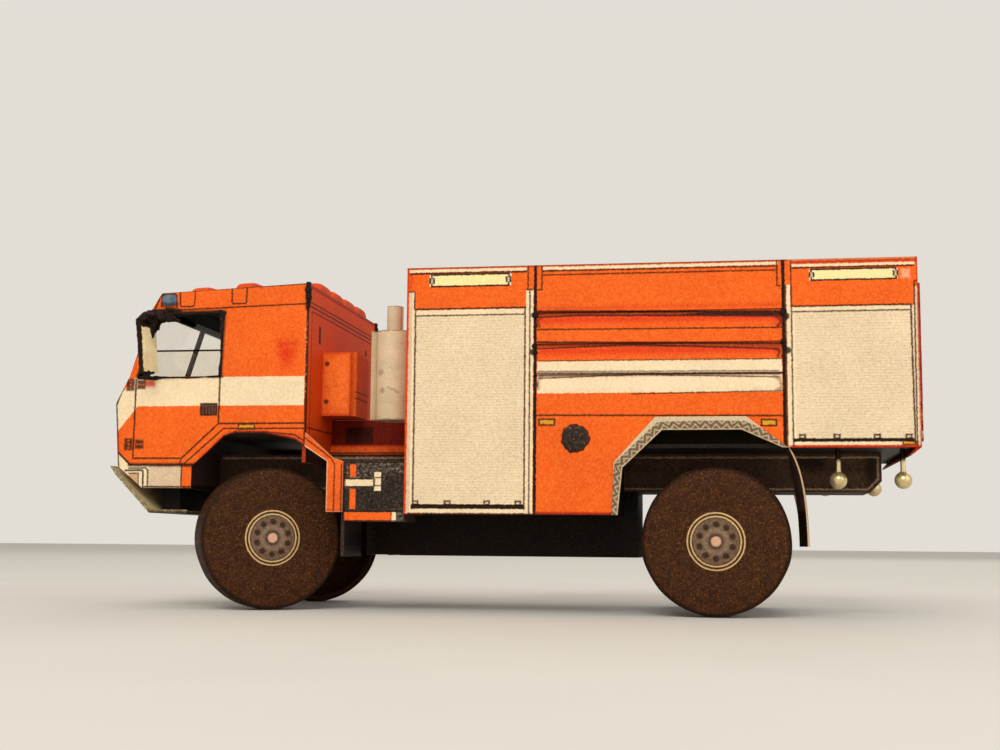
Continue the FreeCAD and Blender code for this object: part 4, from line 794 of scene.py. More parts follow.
def strip_shell(rows, half):
    """A closed skin over loops whose two halves face each other, its ends closed across the thickness."""
    corners, faces = grid_shell(rows, ring=True)
    loop = rows.shape[1]
    walls = faces[:-loop]
    left = np.arange(half - 1)
    caps = []
    for start, turn in ((0, 1), ((len(rows) - 1) * loop, -1)):
        cap = np.stack([left, left + 1, loop - 2 - left, loop - 1 - left], -1) + start
        caps.append(cap[:, ::turn])
    return corners, np.concatenate([walls, *caps])


# The rear mudflaps: glossy black card behind the wheels, hung from the floor and curled by hand.
share = np.linspace(0, 1, 17)
rear_flap_card = printed_card(
    "rear_flap_card", "xz", ink(66, 44, 37),
    [(ink(74, 52, 42), 0.4, 0.6, ("specks", 0.35, 0.5)),
     (ink(14, 10, 9), 0.12, 0.9, ("bar", 27.0, 5.0, 33.0, 10.9))],
    facing="-x", inside=ink(52, 34, 28), edge=ink(196, 164, 126), rough=0.42, shine=0.2)
flaps = []
for side, kick in ((-1, 1.95), (1, 2.95)):
    curl = np.c_[29.98 + kick * (1 - np.exp(-3.0 * share)) - 0.1 * share, 17.2 - 9.95 * share]
    corners, faces = folded_strip(curl, 0.22, 9.55, 14.15, 0.13)
    flaps.append((corners * (1.0, side, 1.0), faces))
make_piece("rear_mudflap_cards", "truck", rear_flap_card, flaps, ["rear_mudflaps"], 40.0)


# Deck behind the cab. A bright orange beam carries a low dark red cover, and an orange air box is
# glued to the cab's back on the left.
deck_print = printed_card(
    "deck_card", "xz", ink(238, 96, 30),
    [(RED_INK, 0.16, 0.7, ("bar", -21.2, 18.1, -10.0, 18.4), ("specks", 0.9, 0.66)),
     (SEAM, 0.08, 0.9, ("line", 0.19, (-21.1, 17.4), (-10.1, 17.4)))],
    edge=ink(238, 96, 30))
dress(deck_print, "rear_deck")
cover_print = printed_card(
    "pump_cover_card", "xz", ink(132, 30, 12),
    [(BLACK_INK, 0.15, 0.9, ("bar", -19.4, 18.5, -16.2, 20.4)),
     (ink(70, 16, 8), 0.5, 0.7, ("specks", 0.4, 0.5))])
dress(cover_print, "pump_cover")

air_print = printed_card(
    "air_box_card", "xz", ink(244, 108, 36),
    # The soft lighter patch in the middle of the box's face is painted light.
    [(ink(255, 134, 52), 0.6, 0.4, ("bar", -20.4, 22.4, -18.2, 27.6)),
     (RED_INK, 0.3, 0.75, ("frame", 0.3, -21.1, 21.35, -17.75, 28.45), ("specks", 0.8, 0.72)),
     (ink(64, 34, 20), 0.1, 0.9, ("dot", -20.55, 27.15, 0.27), ("dot", -20.55, 22.9, 0.27),
      *bars((-17.4, 23.95, -17.0, 24.07), (-17.4, 23.25, -17.0, 23.37)))],
    edge=ink(190, 46, 14))
dress(air_print, "air_box")


# Silencer. White paper rolled to a tube and glued along a seam, with a narrower pipe out of its top and a
# flat slip of card down its front as the heat shield. Both tubes are open at their ends.
def rolled_tube(x, y, low, high, radius, wall):
    """Rolled paper: an open tube whose outer radius grows by one wall's thickness over a turn, so a seam
    step runs up it, with rounded cut ends."""
    angle = np.linspace(0, 2 * np.pi, 96)
    coil = radius - wall * angle / (2 * np.pi)
    section = [(-wall, low), (-wall, high - 0.05), (-wall * 0.8, high), (-wall * 0.2, high),
               (0.0, high - 0.05), (0.0, low + 0.05), (-wall * 0.2, low), (-wall * 0.8, low)]
    rows = [np.c_[x + (coil + out) * np.cos(angle), y + (coil + out) * np.sin(angle), np.full(len(angle), z)]
            for out, z in section]
    return grid_shell(np.array(rows), ring=True)


def turned(x, y, profile, steps):
    """A profile of radii and heights turned about an upright line."""
    angle = np.linspace(0, 2 * np.pi, steps, endpoint=False)
    return grid_shell(np.array([np.c_[x + r * np.cos(angle), y + r * np.sin(angle), np.full(steps, up)]
                                for r, up in profile]))


paper_tube = printed_card(
    "rolled_paper", "xz", ink(214, 188, 154),
    [(ink(150, 124, 102), 0.3, 0.35, ("specks", 0.55, 0.6)),
     (ink(120, 96, 78), 0.15, 0.5, ("dot", -13.2, 25.6, 0.35), ("dot", -13.0, 23.6, 0.3),
      ("line", 0.2, (-12.3, 23.9), (-11.2, 23.4))),
     (ink(92, 72, 56), 0.09, 0.8, ("line", 0.12, (-14.2, 30.14), (-10.0, 30.14)),
      ("line", 0.14, (-14.2, 20.45), (-10.0, 20.45))),
     (ink(160, 140, 114), 0.06, 0.8, ("line", 0.12, (-14.2, 32.94), (-10.0, 32.94)))],
    bleed=0.3, speckle=0.06)
TUBE_AT = (-12.1, -11.65)
tubes = [rolled_tube(*TUBE_AT, 20.4, 30.2, 2.0, 0.14), rolled_tube(*TUBE_AT, 28.0, 33.0, 0.93, 0.12)]
end_discs = [turned(*TUBE_AT, ((1.84, z - 0.06), (1.84, z + 0.06)), 48) for z in (20.6, 29.98)]


def upright_slip(rows):
    """Across, up and through, set at a slant in front of the silencer."""
    across, up, through = np.moveaxis(rows, -1, 0)
    return np.stack([-14.02 + 0.5 * across - 0.35 * through, -12.55 + 0.86 * across + through, up], -1)


shield = plate([(-0.62, 20.4), (0.62, 20.4), (0.62, 30.15), (-0.62, 30.15)], 0.14, upright_slip)
make_piece("silencer_tubes", "truck", paper_tube, tubes + [shield] + end_discs, ["silencer", "exhaust_pipe"])


# Body. One printed card wrapped round the tank: shutters at both ends of each side, and between them
# an orange panel whose three slats are cut along their tops and pressed in. The dark slit lines are ink
# and painted shade, and the red under them is painted shade.
SHUTTER = ink(230, 209, 174)
LAMP_CREAM = ink(244, 226, 160)
shutters = (("bar", -9.05, 11.5, 2.59, 31.39), ("bar", 30.7, 18.15, 42.2, 31.1))
slit_runs = [(0.24, (4.0, 31.7), (29.6, 31.28)),
             (0.17, (4.0, 31.1), (8.3, 31.25), (18.0, 31.08), (29.6, 30.8)),
             (0.2, (4.0, 28.42), (29.6, 27.98)), (0.16, (4.1, 27.75), (14.3, 28.05), (29.1, 27.4)),
             (0.17, (4.1, 25.12), (29.4, 24.9)), (0.14, (4.2, 24.6), (14.3, 24.92), (29.1, 24.5)),
             (0.11, (4.2, 25.3), (29.0, 25.12))]
clips = [(x, 11.52) for x in (-8.85, -5.4, -1.2, 2.1)] + [(x, 18.36) for x in (31.27, 34.7, 38.64, 41.75)]
# The dark ends of the two long lamps under the roof's edge: where, how wide, and half as tall.
lamp_ends = ((-7.38, 35.22, 0.62, 0.33), (0.92, 35.22, 0.62, 0.33), (32.46, 35.0, 0.56, 0.28),
             (40.8, 35.0, 0.56, 0.28))
body_print = printed_card(
    "body_side_card", "xz", ORANGE,
    # Soft red on the slats just under their slits: painted shade.
    [(ink(216, 50, 14), 0.5, 0.85,
      *bars((4.2, 30.35, 29.2, 31.2), (4.2, 27.0, 29.2, 27.85), (28.6, 30.1, 29.3, 31.1))),
     (ink(206, 52, 16), 0.45, 0.7, *bars((-9.9, 34.2, -9.5, 36.7), (3.9, 31.9, 29.4, 32.1))),
     (PAPER_WHITE, 0.05, 1.0,
      *bars((-9.84, 10.4, 3.63, 32.06), (29.86, 17.5, 42.9, 31.7), (-9.85, 36.14, 2.9, 36.46),
            (4.6, 36.14, 29.05, 36.46), (30.45, 35.86, 42.7, 36.14), (-9.84, 10.4, -9.28, 34.0),
            (2.85, 10.4, 3.63, 34.02), (-9.3, 31.55, 2.9, 32.06), (-9.7, 10.44, 3.6, 10.78),
            (4.05, 22.99, 29.35, 26.36), (29.86, 17.3, 30.27, 34.0), (30.4, 31.28, 42.3, 31.67),
            (30.0, 17.5, 42.6, 17.85), (42.6, 17.5, 42.95, 33.6))),
     # The greyed white strips at the body's front and rear edges are painted shade.
     (ink(196, 160, 140), 0.08, 0.55, *bars((-9.86, 10.4, -9.5, 34.0), (42.78, 17.5, 43.0, 33.0))),
     (SHUTTER, 0.05, 1.0, *shutters),
     (ink(196, 162, 118), 0.06, 0.26,
      *[("both", ("stripes", 1, 0.3, 0.12, 11.6), shutter) for shutter in shutters]),
     (ink(160, 116, 76), 0.04, 0.32, *[("both", ("specks", 5.2, 0.6), shutter) for shutter in shutters]),
     (PAPER_WHITE, 0.06, 1.0, *bars((-7.67, 34.6, 1.23, 35.9), (32.23, 34.45, 41.01, 35.55))),
     (LAMP_CREAM, 0.06, 1.0, *bars((-7.05, 34.6, 0.6, 35.9), (32.7, 34.45, 40.55, 35.55))),
     (YELLOW, 0.05, 1.0,
      *bars((4.29, 19.66, 5.91, 20.26), (27.2, 19.5, 28.7, 20.1), (41.14, 17.5, 42.6, 17.9))),
     (ink(236, 190, 150), 0.2, 0.6, ("bar", 41.35, 34.5, 42.2, 35.4)),
     (SEAM, 0.08, 0.96,
      *lines(0.19, (-9.13, 10.8, -9.13, 32.1), (2.74, 10.8, 2.74, 32.1), (4.55, 36.03, 29.1, 36.03),
                   (30.4, 35.76, 42.6, 35.76), (30.4, 31.76, 42.3, 31.76), (4.0, 20.7, 29.35, 20.5)),
      *lines(0.16, (-9.1, 31.45, 2.74, 31.45), (3.25, 10.4, 3.25, 34.05),
                   (-9.9, 34.06, -9.25, 34.06, -9.25, 32.16), (-9.7, 10.38, 3.6, 10.38),
                   (2.85, 34.08, 3.6, 34.08), (4.55, 35.6, 29.1, 35.6), (3.04, 36.6, 3.04, 34.05),
                   (4.52, 36.6, 4.52, 34.03, 4.0, 34.03), (28.95, 36.6, 28.95, 33.94, 29.3, 33.94),
                   (30.37, 36.6, 30.37, 17.3), (30.4, 31.2, 42.3, 31.2), (42.6, 34.2, 42.97, 34.2),
                   (4.1, 29.76, 29.3, 29.6)),
      *lines(0.2, (-9.25, 32.16, 2.85, 32.16), (42.24, 31.7, 42.36, 17.6)),
      *lines(0.22, (-9.85, 36.03, 2.95, 36.03), (4.0, 10.4, 12.0, 10.4)),
      ("line", 0.17, (42.62, 34.2), (42.55, 17.4)), ("line", 0.14, (29.8, 17.2), (29.8, 34.0)),
      ("line", 0.11, (4.1, 26.42), (29.35, 26.36)), ("line", 0.12, (14.0, 22.86), (29.35, 23.06)),
      *[("frame", 0.2, x - 0.26, z - 0.2, x + 0.26, z + 0.16) for x, z in clips],
      *frames(0.19, (4.29, 19.66, 5.91, 20.26), (27.2, 19.5, 28.7, 20.1)),
      ("frame", 0.16, 41.14, 17.5, 42.6, 17.9)),
     (BLACK_INK, 0.06, 1.0,
      *bars((-9.35, 10.88, 2.72, 11.38), (30.35, 17.82, 42.3, 18.18), (3.66, 10.3, 4.0, 36.7),
            (29.38, 16.8, 29.74, 36.7)),
      ("frame", 0.18, -7.4, 34.6, 0.96, 35.85), ("frame", 0.17, 32.4, 34.45, 40.85, 35.55),
      *[("line", width, (x, z - half), (x, z + half)) for x, z, width, half in lamp_ends]),
     # Dark red just under the slits is painted shade; the near-black slit lines after it are ink and painted
     # shade.
     (ink(132, 46, 18), 0.16, 0.75, ("patch", (4.0, 31.2), (29.5, 30.85), (29.5, 31.3), (4.0, 31.65)),
      ("patch", (4.0, 27.95), (29.4, 27.55), (29.4, 28.0), (4.0, 28.4)), ("bar", 4.2, 24.75, 29.2, 25.0)),
     (ink(42, 17, 8), 0.09, 0.96, *[("line", *run) for run in slit_runs],
      ("patch", (18.0, 31.1), (29.5, 30.8), (29.5, 31.35), (22.0, 31.4))),
     (PAPER_WHITE, 0.12, 0.9,
      *[("line", 0.16, (x, z - 0.22), (x, z + 0.22)) for x, z, *_ in lamp_ends]),
     (BLACK_INK, 0.12, 0.95, ("dot", 3.7, 31.3, 0.32), ("dot", 29.75, 30.75, 0.42),
      ("dot", 29.95, 27.2, 0.36), ("dot", 3.6, 27.4, 0.36), ("dot", 3.9, 23.9, 0.3),
      ("line", 0.42, (29.6, 28.0), (29.5, 26.6)), ("line", 0.32, (3.75, 27.9), (3.9, 26.6)),
      ("line", 0.3, (3.7, 31.2), (3.95, 30.2))),
     (RED_INK, 0.12, 0.8, ("bar", 30.45, 36.2, 43.0, 36.5)),
     (ink(132, 84, 44), 0.24, 0.75, ("line", 0.3, (28.6, 24.6), (29.15, 24.2), (29.3, 23.4), (28.8, 23.1)),
      ("line", 0.24, (4.5, 24.9), (4.15, 24.4), (4.2, 23.5))),
     (ink(112, 24, 9), 0.15, 0.9, ("line", 0.36, (28.7, 30.85), (29.15, 30.6), (29.3, 30.2), (29.0, 29.8)),
      ("line", 0.3, (28.6, 27.4), (29.1, 27.2), (28.95, 26.6)),
      ("line", 0.24, (4.4, 31.05), (4.1, 30.7), (4.25, 30.1))),
     (ink(96, 34, 16), 0.14, 0.75, ("line", 0.22, (-10.1, 36.62), (30.0, 36.63))),
     (ink(176, 138, 104), 0.1, 0.8, ("line", 0.16, (30.0, 36.62), (43.0, 36.62))),
     (RED_INK, 0.14, 0.92, ("bar", 30.0, 17.0, 43.0, 17.44),
      ("patch", (42.8, 36.0), (43.0, 33.3), (43.4, 33.3), (43.4, 36.7), (42.5, 36.7)),
      ("line", 0.22, (4.0, 10.5), (12.3, 10.5)), ("line", 0.14, (-10.02, 10.3), (-10.02, 36.6)),
      ("line", 0.2, (42.95, 17.2), (42.95, 36.7)))],
    facing="y", inside=ink(196, 172, 136), edge=ink(112, 30, 12), bleed=0.23)
dress(body_print, "body_side_left", "body_side_right")

# The body's other walls: its front plain orange above the deck, its back a shutter between lamp strips,
# and its roof a printed walkway with two hatches.
wall_print = printed_card(
    "body_front_card", "yz", ink(230, 92, 30),
    [(PAPER_WHITE, 0.06, 1.0, ("bar", -14.1, 35.6, 14.1, 36.0)),
     (SEAM, 0.08, 0.95, ("frame", 0.19, -13.6, 18.2, 13.6, 35.0),
      *lines(0.16, (-14.2, 35.5, 14.2, 35.5), (0.0, 20.7, 0.0, 35.0))),
     (RED_INK, 0.2, 0.8, ("frame", 0.3, -14.25, 17.0, 14.25, 36.5))],
    facing="-x", inside=ink(196, 172, 136), edge=RED_INK)
dress(wall_print, "body_front_wall")

back_shutter = ("bar", -10.6, 18.9, 10.6, 31.0)
rear_print = printed_card(
    "body_rear_card", "yz", ORANGE,
    [(PAPER_WHITE, 0.05, 1.0,
      *bars((-11.2, 18.0, 11.2, 31.6), (-14.0, 36.0, 14.0, 36.3), (-4.2, 33.0, 4.2, 34.4))),
     (SHUTTER, 0.05, 1.0, back_shutter),
     (ink(190, 156, 114), 0.05, 0.55, ("both", ("stripes", 1, 0.3, 0.12, 18.9), back_shutter)),
     (ink(150, 110, 78), 0.04, 0.4, ("both", ("specks", 3.4, 0.6), back_shutter)),
     (ink(120, 106, 96), 0.05, 1.0, *bars((-14.2, 17.6, -12.0, 34.0), (12.0, 17.6, 14.2, 34.0))),
     (YELLOW, 0.06, 1.0, *bars((-13.8, 22.4, -12.4, 24.4), (12.4, 22.4, 13.8, 24.4))),
     (SEAM, 0.08, 0.95,
      *frames(0.19, (-10.75, 18.2, 10.75, 31.15), (-11.3, 17.9, 11.3, 31.75), (-14.25, 17.6, -12.0, 34.0),
                    (12.0, 17.6, 14.25, 34.0)),
      ("line", 0.16, (-14.2, 35.8), (14.2, 35.8)), ("frame", 0.16, -4.2, 33.0, 4.2, 34.4),
      *[("frame", 0.16, y - 0.3, 18.66, y + 0.3, 18.95) for y in (-9.0, -3.0, 3.0, 9.0)]),
     (BLACK_INK, 0.06, 1.0, ("bar", -10.7, 18.25, 10.7, 18.66)),
     (RED_INK, 0.12, 0.9, ("frame", 0.36, -14.3, 17.2, 14.3, 36.7))],
    facing="x", inside=ink(196, 172, 136), edge=RED_INK)
dress(rear_print, "body_rear_wall")

HATCHES_AT = (2.0, 28.0)
hatches = [(x - 4.2, -4.2, x + 4.2, 4.2) for x in HATCHES_AT]
top_print = printed_card(
    "body_roof_card", "xy", ink(150, 138, 124),
    [(ink(196, 184, 166), 0.05, 0.8,
      ("both", ("stripes", 0, 0.9, 0.28, 0.0), ("stripes", 1, 0.9, 0.5, 0.0)),
      ("both", ("stripes", 0, 0.9, 0.5, 0.45), ("stripes", 1, 0.9, 0.28, 0.45))),
     (ORANGE, 0.06, 1.0,
      *bars((-10.2, -14.7, 43.0, -12.6), (-10.2, 12.6, 43.0, 14.7), (-10.2, -14.7, -8.4, 14.7),
            (41.2, -14.7, 43.0, 14.7))),
     (ink(206, 186, 156), 0.06, 1.0, *bars(*hatches)),
     (SEAM, 0.08, 0.95, ("frame", 0.19, -8.4, -12.6, 41.2, 12.6), *frames(0.14, *hatches),
      ("line", 0.16, (15.0, -12.6), (15.0, 12.6)),
      *[("dot", x + dx, dy, 0.3) for x in HATCHES_AT for dx in (-3.4, 3.4) for dy in (-3.4, 3.4)]),
     (RED_INK, 0.14, 0.9, ("frame", 0.4, -10.1, -14.65, 42.97, 14.65))],
    facing="z", inside=ink(196, 172, 136), edge=RED_INK)
dress(top_print, "body_roof")
tail_print = printed_card(
    "rear_flap_red_card", "xz", RED_INK,
    [(BLACK_INK, 0.2, 0.5, ("specks", 0.8, 0.55)),
     (ink(206, 182, 150), 0.2, 0.85, ("bar", 36.0, 15.0, 44.0, 16.5)),
     (ink(226, 74, 30), 0.15, 0.8, ("bar", 42.4, 16.6, 43.4, 17.4))],
    bleed=0.5)
dress(tail_print, "rear_flap")


# Wheel arch trims. A narrow strip of printed tread plate, cut in four straight runs and glued over the
# arch's edge: rows of pale zigzag ribs on dark grey, pale cut edges and a thin black outline.
inner_line = np.array([(12.5, 10.34), (13.0, 15.2), (17.1, 19.1), (25.2, 19.1), (29.3, 17.25)])
outer_line = np.array([(11.9, 10.34), (12.1, 15.75), (16.4, 20.45), (25.65, 20.45), (29.85, 17.25)])


def trim_strip(side):
    """The trim on one side of the truck: points at even steps from its inner to its outer line, on two
    faces a card's thickness apart, closed round as a loop at each step along the run."""
    steps = np.linspace(0, 1, 25)[:-1]
    low, high = (np.concatenate([(line[:-1, None] * (1 - steps)[:, None] + line[1:, None] * steps[:, None])
                                 .reshape(-1, 2), line[-1:]]) for line in (inner_line, outer_line))
    across = np.array([0.0, 0.06, 0.5, 0.94, 1.0])
    deep = np.array([0.04, 0.0, 0.0, 0.0, 0.04])
    face = low[:, None] * (1 - across)[None, :, None] + high[:, None] * across[None, :, None]
    outside, behind = (np.stack([face[..., 0], np.broadcast_to(side * y, face.shape[:2]), face[..., 1]], -1)
                       for y in (14.8 - deep, 14.64 + 0 * deep))
    rows = np.concatenate([outside, behind[:, ::-1]], 1)
    middle = (low + high) / 2
    far = np.concatenate([[0], np.cumsum(np.linalg.norm(np.diff(middle, axis=0), axis=1))])
    wide = np.linalg.norm(high - low, axis=1)
    flow = np.stack([np.broadcast_to(far[:, None], rows.shape[:2]),
                     np.concatenate([across, across[::-1]])[None] * wide[:, None]], -1)
    return rows, flow


trim_material, tree, shader = new_finish("arch_trim_card")
coords = add(tree, "TexCoord").outputs
place = in_mm(tree, coords)
grain = add(tree, "Group", place, 0.2, 0.12, node_tree=card_grain).outputs
slide = add(tree, "SeparateXYZ", vec(tree, "SUBTRACT", grain["Bled"], place)).outputs
flow_x, flow_y, _ = add(tree, "SeparateXYZ", coords["UV"]).outputs
flow_x, flow_y = calc(tree, "ADD", flow_x, slide[0]), calc(tree, "ADD", flow_y, slide[2])
# Each rib zigzags across the strip: its line is where the run, folded back and forth, meets the width.
fold = calc(tree, "PINGPONG", flow_x, 0.55)
rib_gap = calc(tree, "ABSOLUTE", calc(tree, "WRAP", calc(tree, "SUBTRACT", flow_y, fold), 0.3, -0.3))
rib_gap = calc(tree, "SUBTRACT", rib_gap, 0.1)
edge_gap = calc(tree, "MINIMUM", calc(tree, "SUBTRACT", flow_y, 0.1), calc(tree, "SUBTRACT", 0.92, flow_y))
colour = ink(112, 92, 70)
for shade, gap, soft, cover in ((ink(192, 170, 136), rib_gap, 0.09, 0.9),
                                (ink(206, 186, 150), edge_gap, 0.05, 0.95)):
    colour = add(tree, "Group", colour, shade, gap, soft, cover, node_tree=ink_layer).outputs[0]
colour = add(tree, "Gamma", mix(tree, 1.0, colour, grain["Shade"], "MULTIPLY"), grain["Depth"]).outputs[0]
tree.links.new(colour, shader.inputs["Base Color"])
shader.inputs["Roughness"].default_value = 0.6
shader.inputs["Specular IOR Level"].default_value = 0.1
emboss(tree, shader, grain["Height"], 0.02)
strips, flows = [], []
for side in (-1, 1):
    rows, flow = trim_strip(side)
    strips.append(strip_shell(rows, 5))
    flows.append(flow.reshape(-1, 2))
make_piece("arch_trim_strips", "truck", trim_material, strips, ["arch_trims"], 40.0,
           np.concatenate(flows))


# Filler caps. A lump of glossy black ink over the printed cap on each side, ragged where it has run,
# its light brown and tan specks painted highlights.
def ink_blob(x, z, radius, height, side, seed):
    """A lump of ink: rings of a dome. At the share s of the way out, it stands height sqrt(1 - s^2.2) high,
    and its rim is a circle that wanders with three waves of the angle. side is -1 for the left."""
    angle = np.linspace(0, 2 * np.pi, 64, endpoint=False)
    wander = (1 + 0.03 * np.sin(3 * angle + seed) + 0.025 * np.sin(7 * angle + 2 * seed) +
              0.03 * np.sin(13 * angle + seed))
    rows = []
    for share in np.linspace(0.0, 1.0, 9):
        lump = 1 + 0.16 * np.sin(4 * angle + 3 * seed + 5 * share) * share * (1 - share) * 4
        reach = radius * share * wander
        rise = height * np.sqrt(np.clip(1 - share ** 2.2, 0, 1)) * lump
        rows.append(np.c_[x + reach * np.cos(angle), side * (14.6 + rise), z + reach * np.sin(angle)])
    rows.append(np.c_[x + 0.0 * angle, np.full(64, side * 14.5), np.full(64, z)])
    return grid_shell(np.array(rows))


cap_ink = printed_card(
    "cap_ink", "xz", ink(30, 16, 8),
    [(ink(110, 76, 40), 0.06, 0.8, ("specks", 2.6, 0.6)),
     (ink(176, 136, 74), 0.03, 0.8, ("specks", 4.2, 0.66)),
     (ink(96, 26, 10), 0.2, 0.7, ("both", ("ring", 8.1, 18.25, 1.5, 0.3), ("specks", 1.4, 0.52)))],
    rough=0.4, relief=0.14, shine=0.3)
caps = [ink_blob(8.1, 18.25, 1.55, 0.42, side, 1.3) for side in (-1, 1)]
make_piece("filler_ink", "truck", cap_ink, caps, ["filler_caps"], 60.0)


# Slat beads. Where the slats' ends were glued to the uprights, small black beads of ink and glue stand
# on the card, on the left side only.
BEADS_AT = ((3.82, 31.35, 0.34), (3.72, 28.0, 0.3), (3.86, 27.3, 0.26),
            (29.6, 31.25, 0.36), (29.55, 28.2, 0.34), (29.62, 27.6, 0.26))
beads = [ink_blob(x, z, size, 0.14, -1, seed) for seed, (x, z, size) in enumerate(BEADS_AT, 1)]
make_piece("ink_beads", "truck", gloss_ink, beads, (), 60.0)


# Tail lamps. Small printed blocks, red over yellow over red, one at each bottom corner of the body's
# back wall.
tail_lamp_print = printed_card(
    "tail_lamp_card", "yz", ink(190, 34, 16),
    [(YELLOW, 0.06, 1.0, ("bar", -15.0, 20.0, 15.0, 21.0)),
     (PAPER_WHITE, 0.06, 1.0, ("bar", -15.0, 18.2, 15.0, 18.9)),
     (BLACK_INK, 0.05, 0.9,
      *[("frame", 0.12, side * 12.95, z, side * 14.25, z + 0.9) for side in (-1, 1)
        for z in (18.05, 19.0, 20.0, 20.75)])])
dress(tail_lamp_print, "tail_lamps")


# Rear slips. Above each tail lamp a slip of printed card runs up the back wall, its outer edge cut
# ragged and inked red.
def on_back(rows):
    """Across the truck, up, and out from the back wall."""
    return np.stack([43.07 + rows[..., 2], rows[..., 0], rows[..., 1]], -1)


rise = np.linspace(0.0, 1.0, 49)
ragged = 14.6 + 0.05 * np.sin(37 * rise) + 0.04 * np.sin(83 * rise + 1.0)
slip_print = printed_card(
    "rear_slip_card", "yz", ink(128, 110, 92),
    [(ink(178, 158, 130), 0.06, 0.8, ("both", ("stripes", 1, 0.5, 0.2, 18.0), ("specks", 2.0, 0.45))),
     (RED_INK, 0.2, 0.9, *[("bar", side * 14.35, 17.0, side * 15.0, 34.5) for side in (-1, 1)])],
    facing="x", inside=RED_INK, edge=ink(150, 44, 26), bleed=0.4)
slips = []
for side in (-1, 1):
    outer = np.c_[side * ragged, 21.75 + 12.2 * rise]
    slips.append(plate(np.concatenate([[(side * 12.3, 21.75)], outer, [(side * 12.3, 33.95)]]), 0.2, on_back))
make_piece("rear_slips", "truck", slip_print, slips, ())


# Pins. Two dressmaker's pins on each side, pushed up into the floor by the rear: a small glossy cream
# ball on a bright wire, standing for the coupling valves. The wire is painted dark as shade above 16.1 mm.
def pin_profile(z, ball, neck, top):
    """A ball with a short neck: the radius follows the ball's circle up to the neck, and then the neck's."""
    fall = np.linspace(np.pi, math.asin(neck / ball), 22)
    circle = [(ball * math.sin(turn), z + ball * math.cos(turn)) for turn in fall]
    return circle + [(neck, top - 0.02), (neck * 0.8, top)]


head_enamel, tree, shader = new_finish("pin_head_enamel")
place = in_mm(tree, add(tree, "TexCoord").outputs)
cloud = add(tree, "TexNoise", place, None, 1.6, 3.0, 0.6).outputs[0]
pit = add(tree, "TexNoise", place, None, 7.0, 2.0, 0.5).outputs[0]
tint = mix(tree, spread(tree, cloud, 0.35, 0.68, 0.0, 1.0), ink(206, 182, 122), ink(232, 214, 160))
tree.links.new(mix(tree, spread(tree, pit, 0.6, 0.68, 0.0, 0.7), tint, ink(120, 88, 50)),
               shader.inputs["Base Color"])
tree.links.new(spread(tree, cloud, 0.3, 0.7, 0.2, 0.36), shader.inputs["Roughness"])
shader.inputs["Metallic"].default_value = 0.6
shader.inputs["Coat Weight"].default_value = 0.6
shader.inputs["Coat Roughness"].default_value = 0.1
emboss(tree, shader, pit, 0.01)
pin_places = [(35.0, -11.0), (41.5, -11.0), (35.0, 11.0), (40.6, 11.0)]
WIRE = 0.27
heads = [turned(x, y, pin_profile(14.1, 0.9, 0.32, 15.05), 40) for x, y in pin_places]
wires = [turned(x, y, ((WIRE, 14.9), (WIRE, 17.25)), 24) for x, y in pin_places]
pin_steel = metal("pin_steel", ink(250, 226, 176), 0.24, 16.1 * MM)
make_piece("pin_heads", "truck", head_enamel, heads, ["body_pins"], 50.0)
make_piece("pin_wires", "truck", pin_steel, wires, (), 50.0)


# Floor, light and camera. A plain pale floor and sky, one large soft lamp above the left side, and two
# fainter ones to fill. The camera stands low beside the left flank and looks a little up and forward.
floor_mesh = bpy.data.meshes.new("floor")
FLOOR_HALF = 3.0
floor_mesh.from_pydata([(x * FLOOR_HALF, y * FLOOR_HALF, 0)
                        for x, y in ((-1, -1), (1, -1), (1, 1), (-1, 1))],
                       [], [(0, 1, 2, 3)])
floor = bpy.data.objects.new("floor", floor_mesh)
bpy.context.scene.collection.objects.link(floor)
floor_paper, tree, shader = new_finish("floor_paper")
cloud = add(tree, "TexNoise", add(tree, "TexCoord").outputs["Object"], None, 40.0, 2.0, 0.5).outputs[0]
tree.links.new(mix(tree, cloud, ink(222, 218, 210), ink(214, 210, 202)), shader.inputs["Base Color"])
shader.inputs["Roughness"].default_value = 0.85
floor_mesh.materials.append(floor_paper)

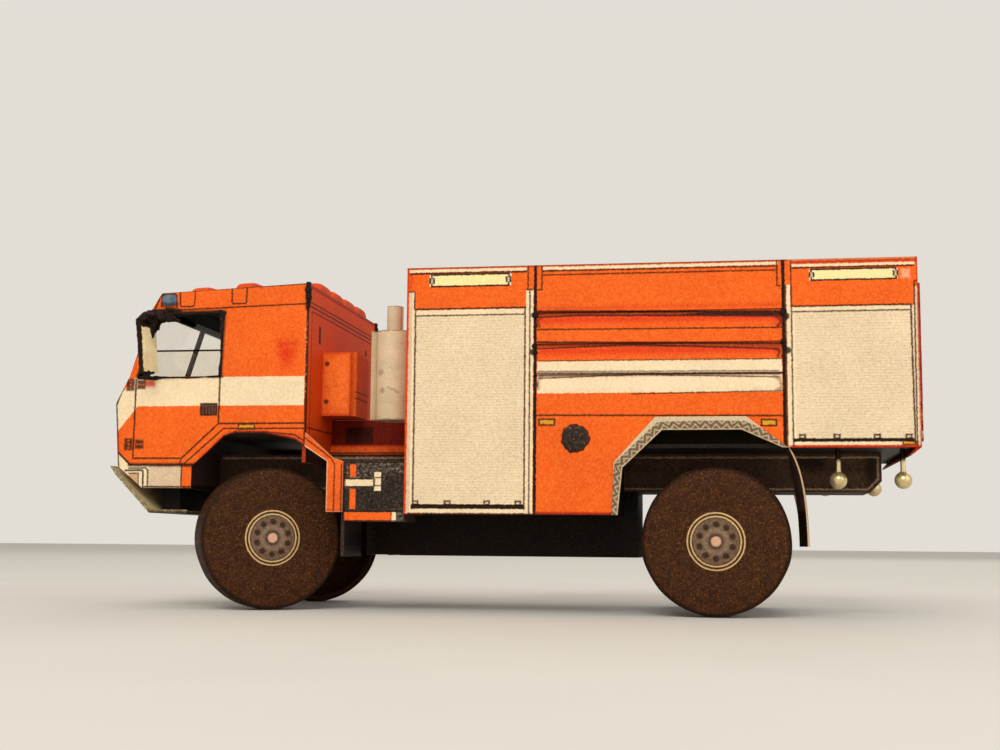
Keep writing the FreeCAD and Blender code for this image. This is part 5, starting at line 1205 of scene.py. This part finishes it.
world = bpy.data.worlds.new("pale_room")
bpy.context.scene.world = world
world.use_nodes = True
tree = world.node_tree
tree.nodes.clear()
rays = add(tree, "LightPath").outputs
seen = calc(tree, "MAXIMUM", rays["Is Camera Ray"], rays["Is Glossy Ray"])
seen = calc(tree, "MAXIMUM", seen, rays["Is Transmission Ray"])
room = add(tree, "Background", ink(255, 250, 243), 0.58)
backdrop = add(tree, "Background", ink(226, 222, 214), 1.0)
chosen = add(tree, "MixShader", seen, room.outputs[0], backdrop.outputs[0])
tree.links.new(chosen.outputs[0], add(tree, "OutputWorld").inputs[0])


def lamp(name, size, power, place, target=(0.0, 0.0, 0.015)):
    """A square soft lamp at a place in metres, turned to the truck."""
    light = bpy.data.lights.new(name, "AREA")
    light.size, light.energy, light.color = size, power, (1.0, 0.97, 0.92)
    holder = bpy.data.objects.new(name, light)
    holder.location = place
    heading = np.array(target) - np.array(place)
    holder.rotation_euler = (math.acos(-heading[2] / np.linalg.norm(heading)), 0.0,
                             math.atan2(-heading[0], heading[1]))
    bpy.context.scene.collection.objects.link(holder)


lamp("key_lamp", 0.35, 2.5, (-0.04, -0.56, 0.42))
lamp("fill_lamp", 0.5, 0.8, (0.5, -0.35, 0.3))
lamp("back_lamp", 0.5, 0.9, (0.1, 0.6, 0.5))

camera = bpy.data.cameras.new("camera")
camera.lens, camera.sensor_width = 50.98, 36.0
camera.clip_start, camera.clip_end = 0.01, 10.0
eye = bpy.data.objects.new("camera", camera)
eye.location = (0.02446, -0.16114, 0.00722)
YAW, PITCH, ROLL = (math.radians(turn) for turn in (-9.44, 6.82, -0.51))
forward = Vector((math.sin(YAW) * math.cos(PITCH), math.cos(YAW) * math.cos(PITCH), math.sin(PITCH)))
eye.rotation_mode = "QUATERNION"
eye.rotation_quaternion = (Matrix.Rotation(ROLL, 4, forward).to_quaternion() @
                           forward.to_track_quat("-Z", "Y"))
bpy.context.scene.collection.objects.link(eye)
bpy.context.scene.camera = eye
bpy.context.scene.view_settings.view_transform = "Standard"
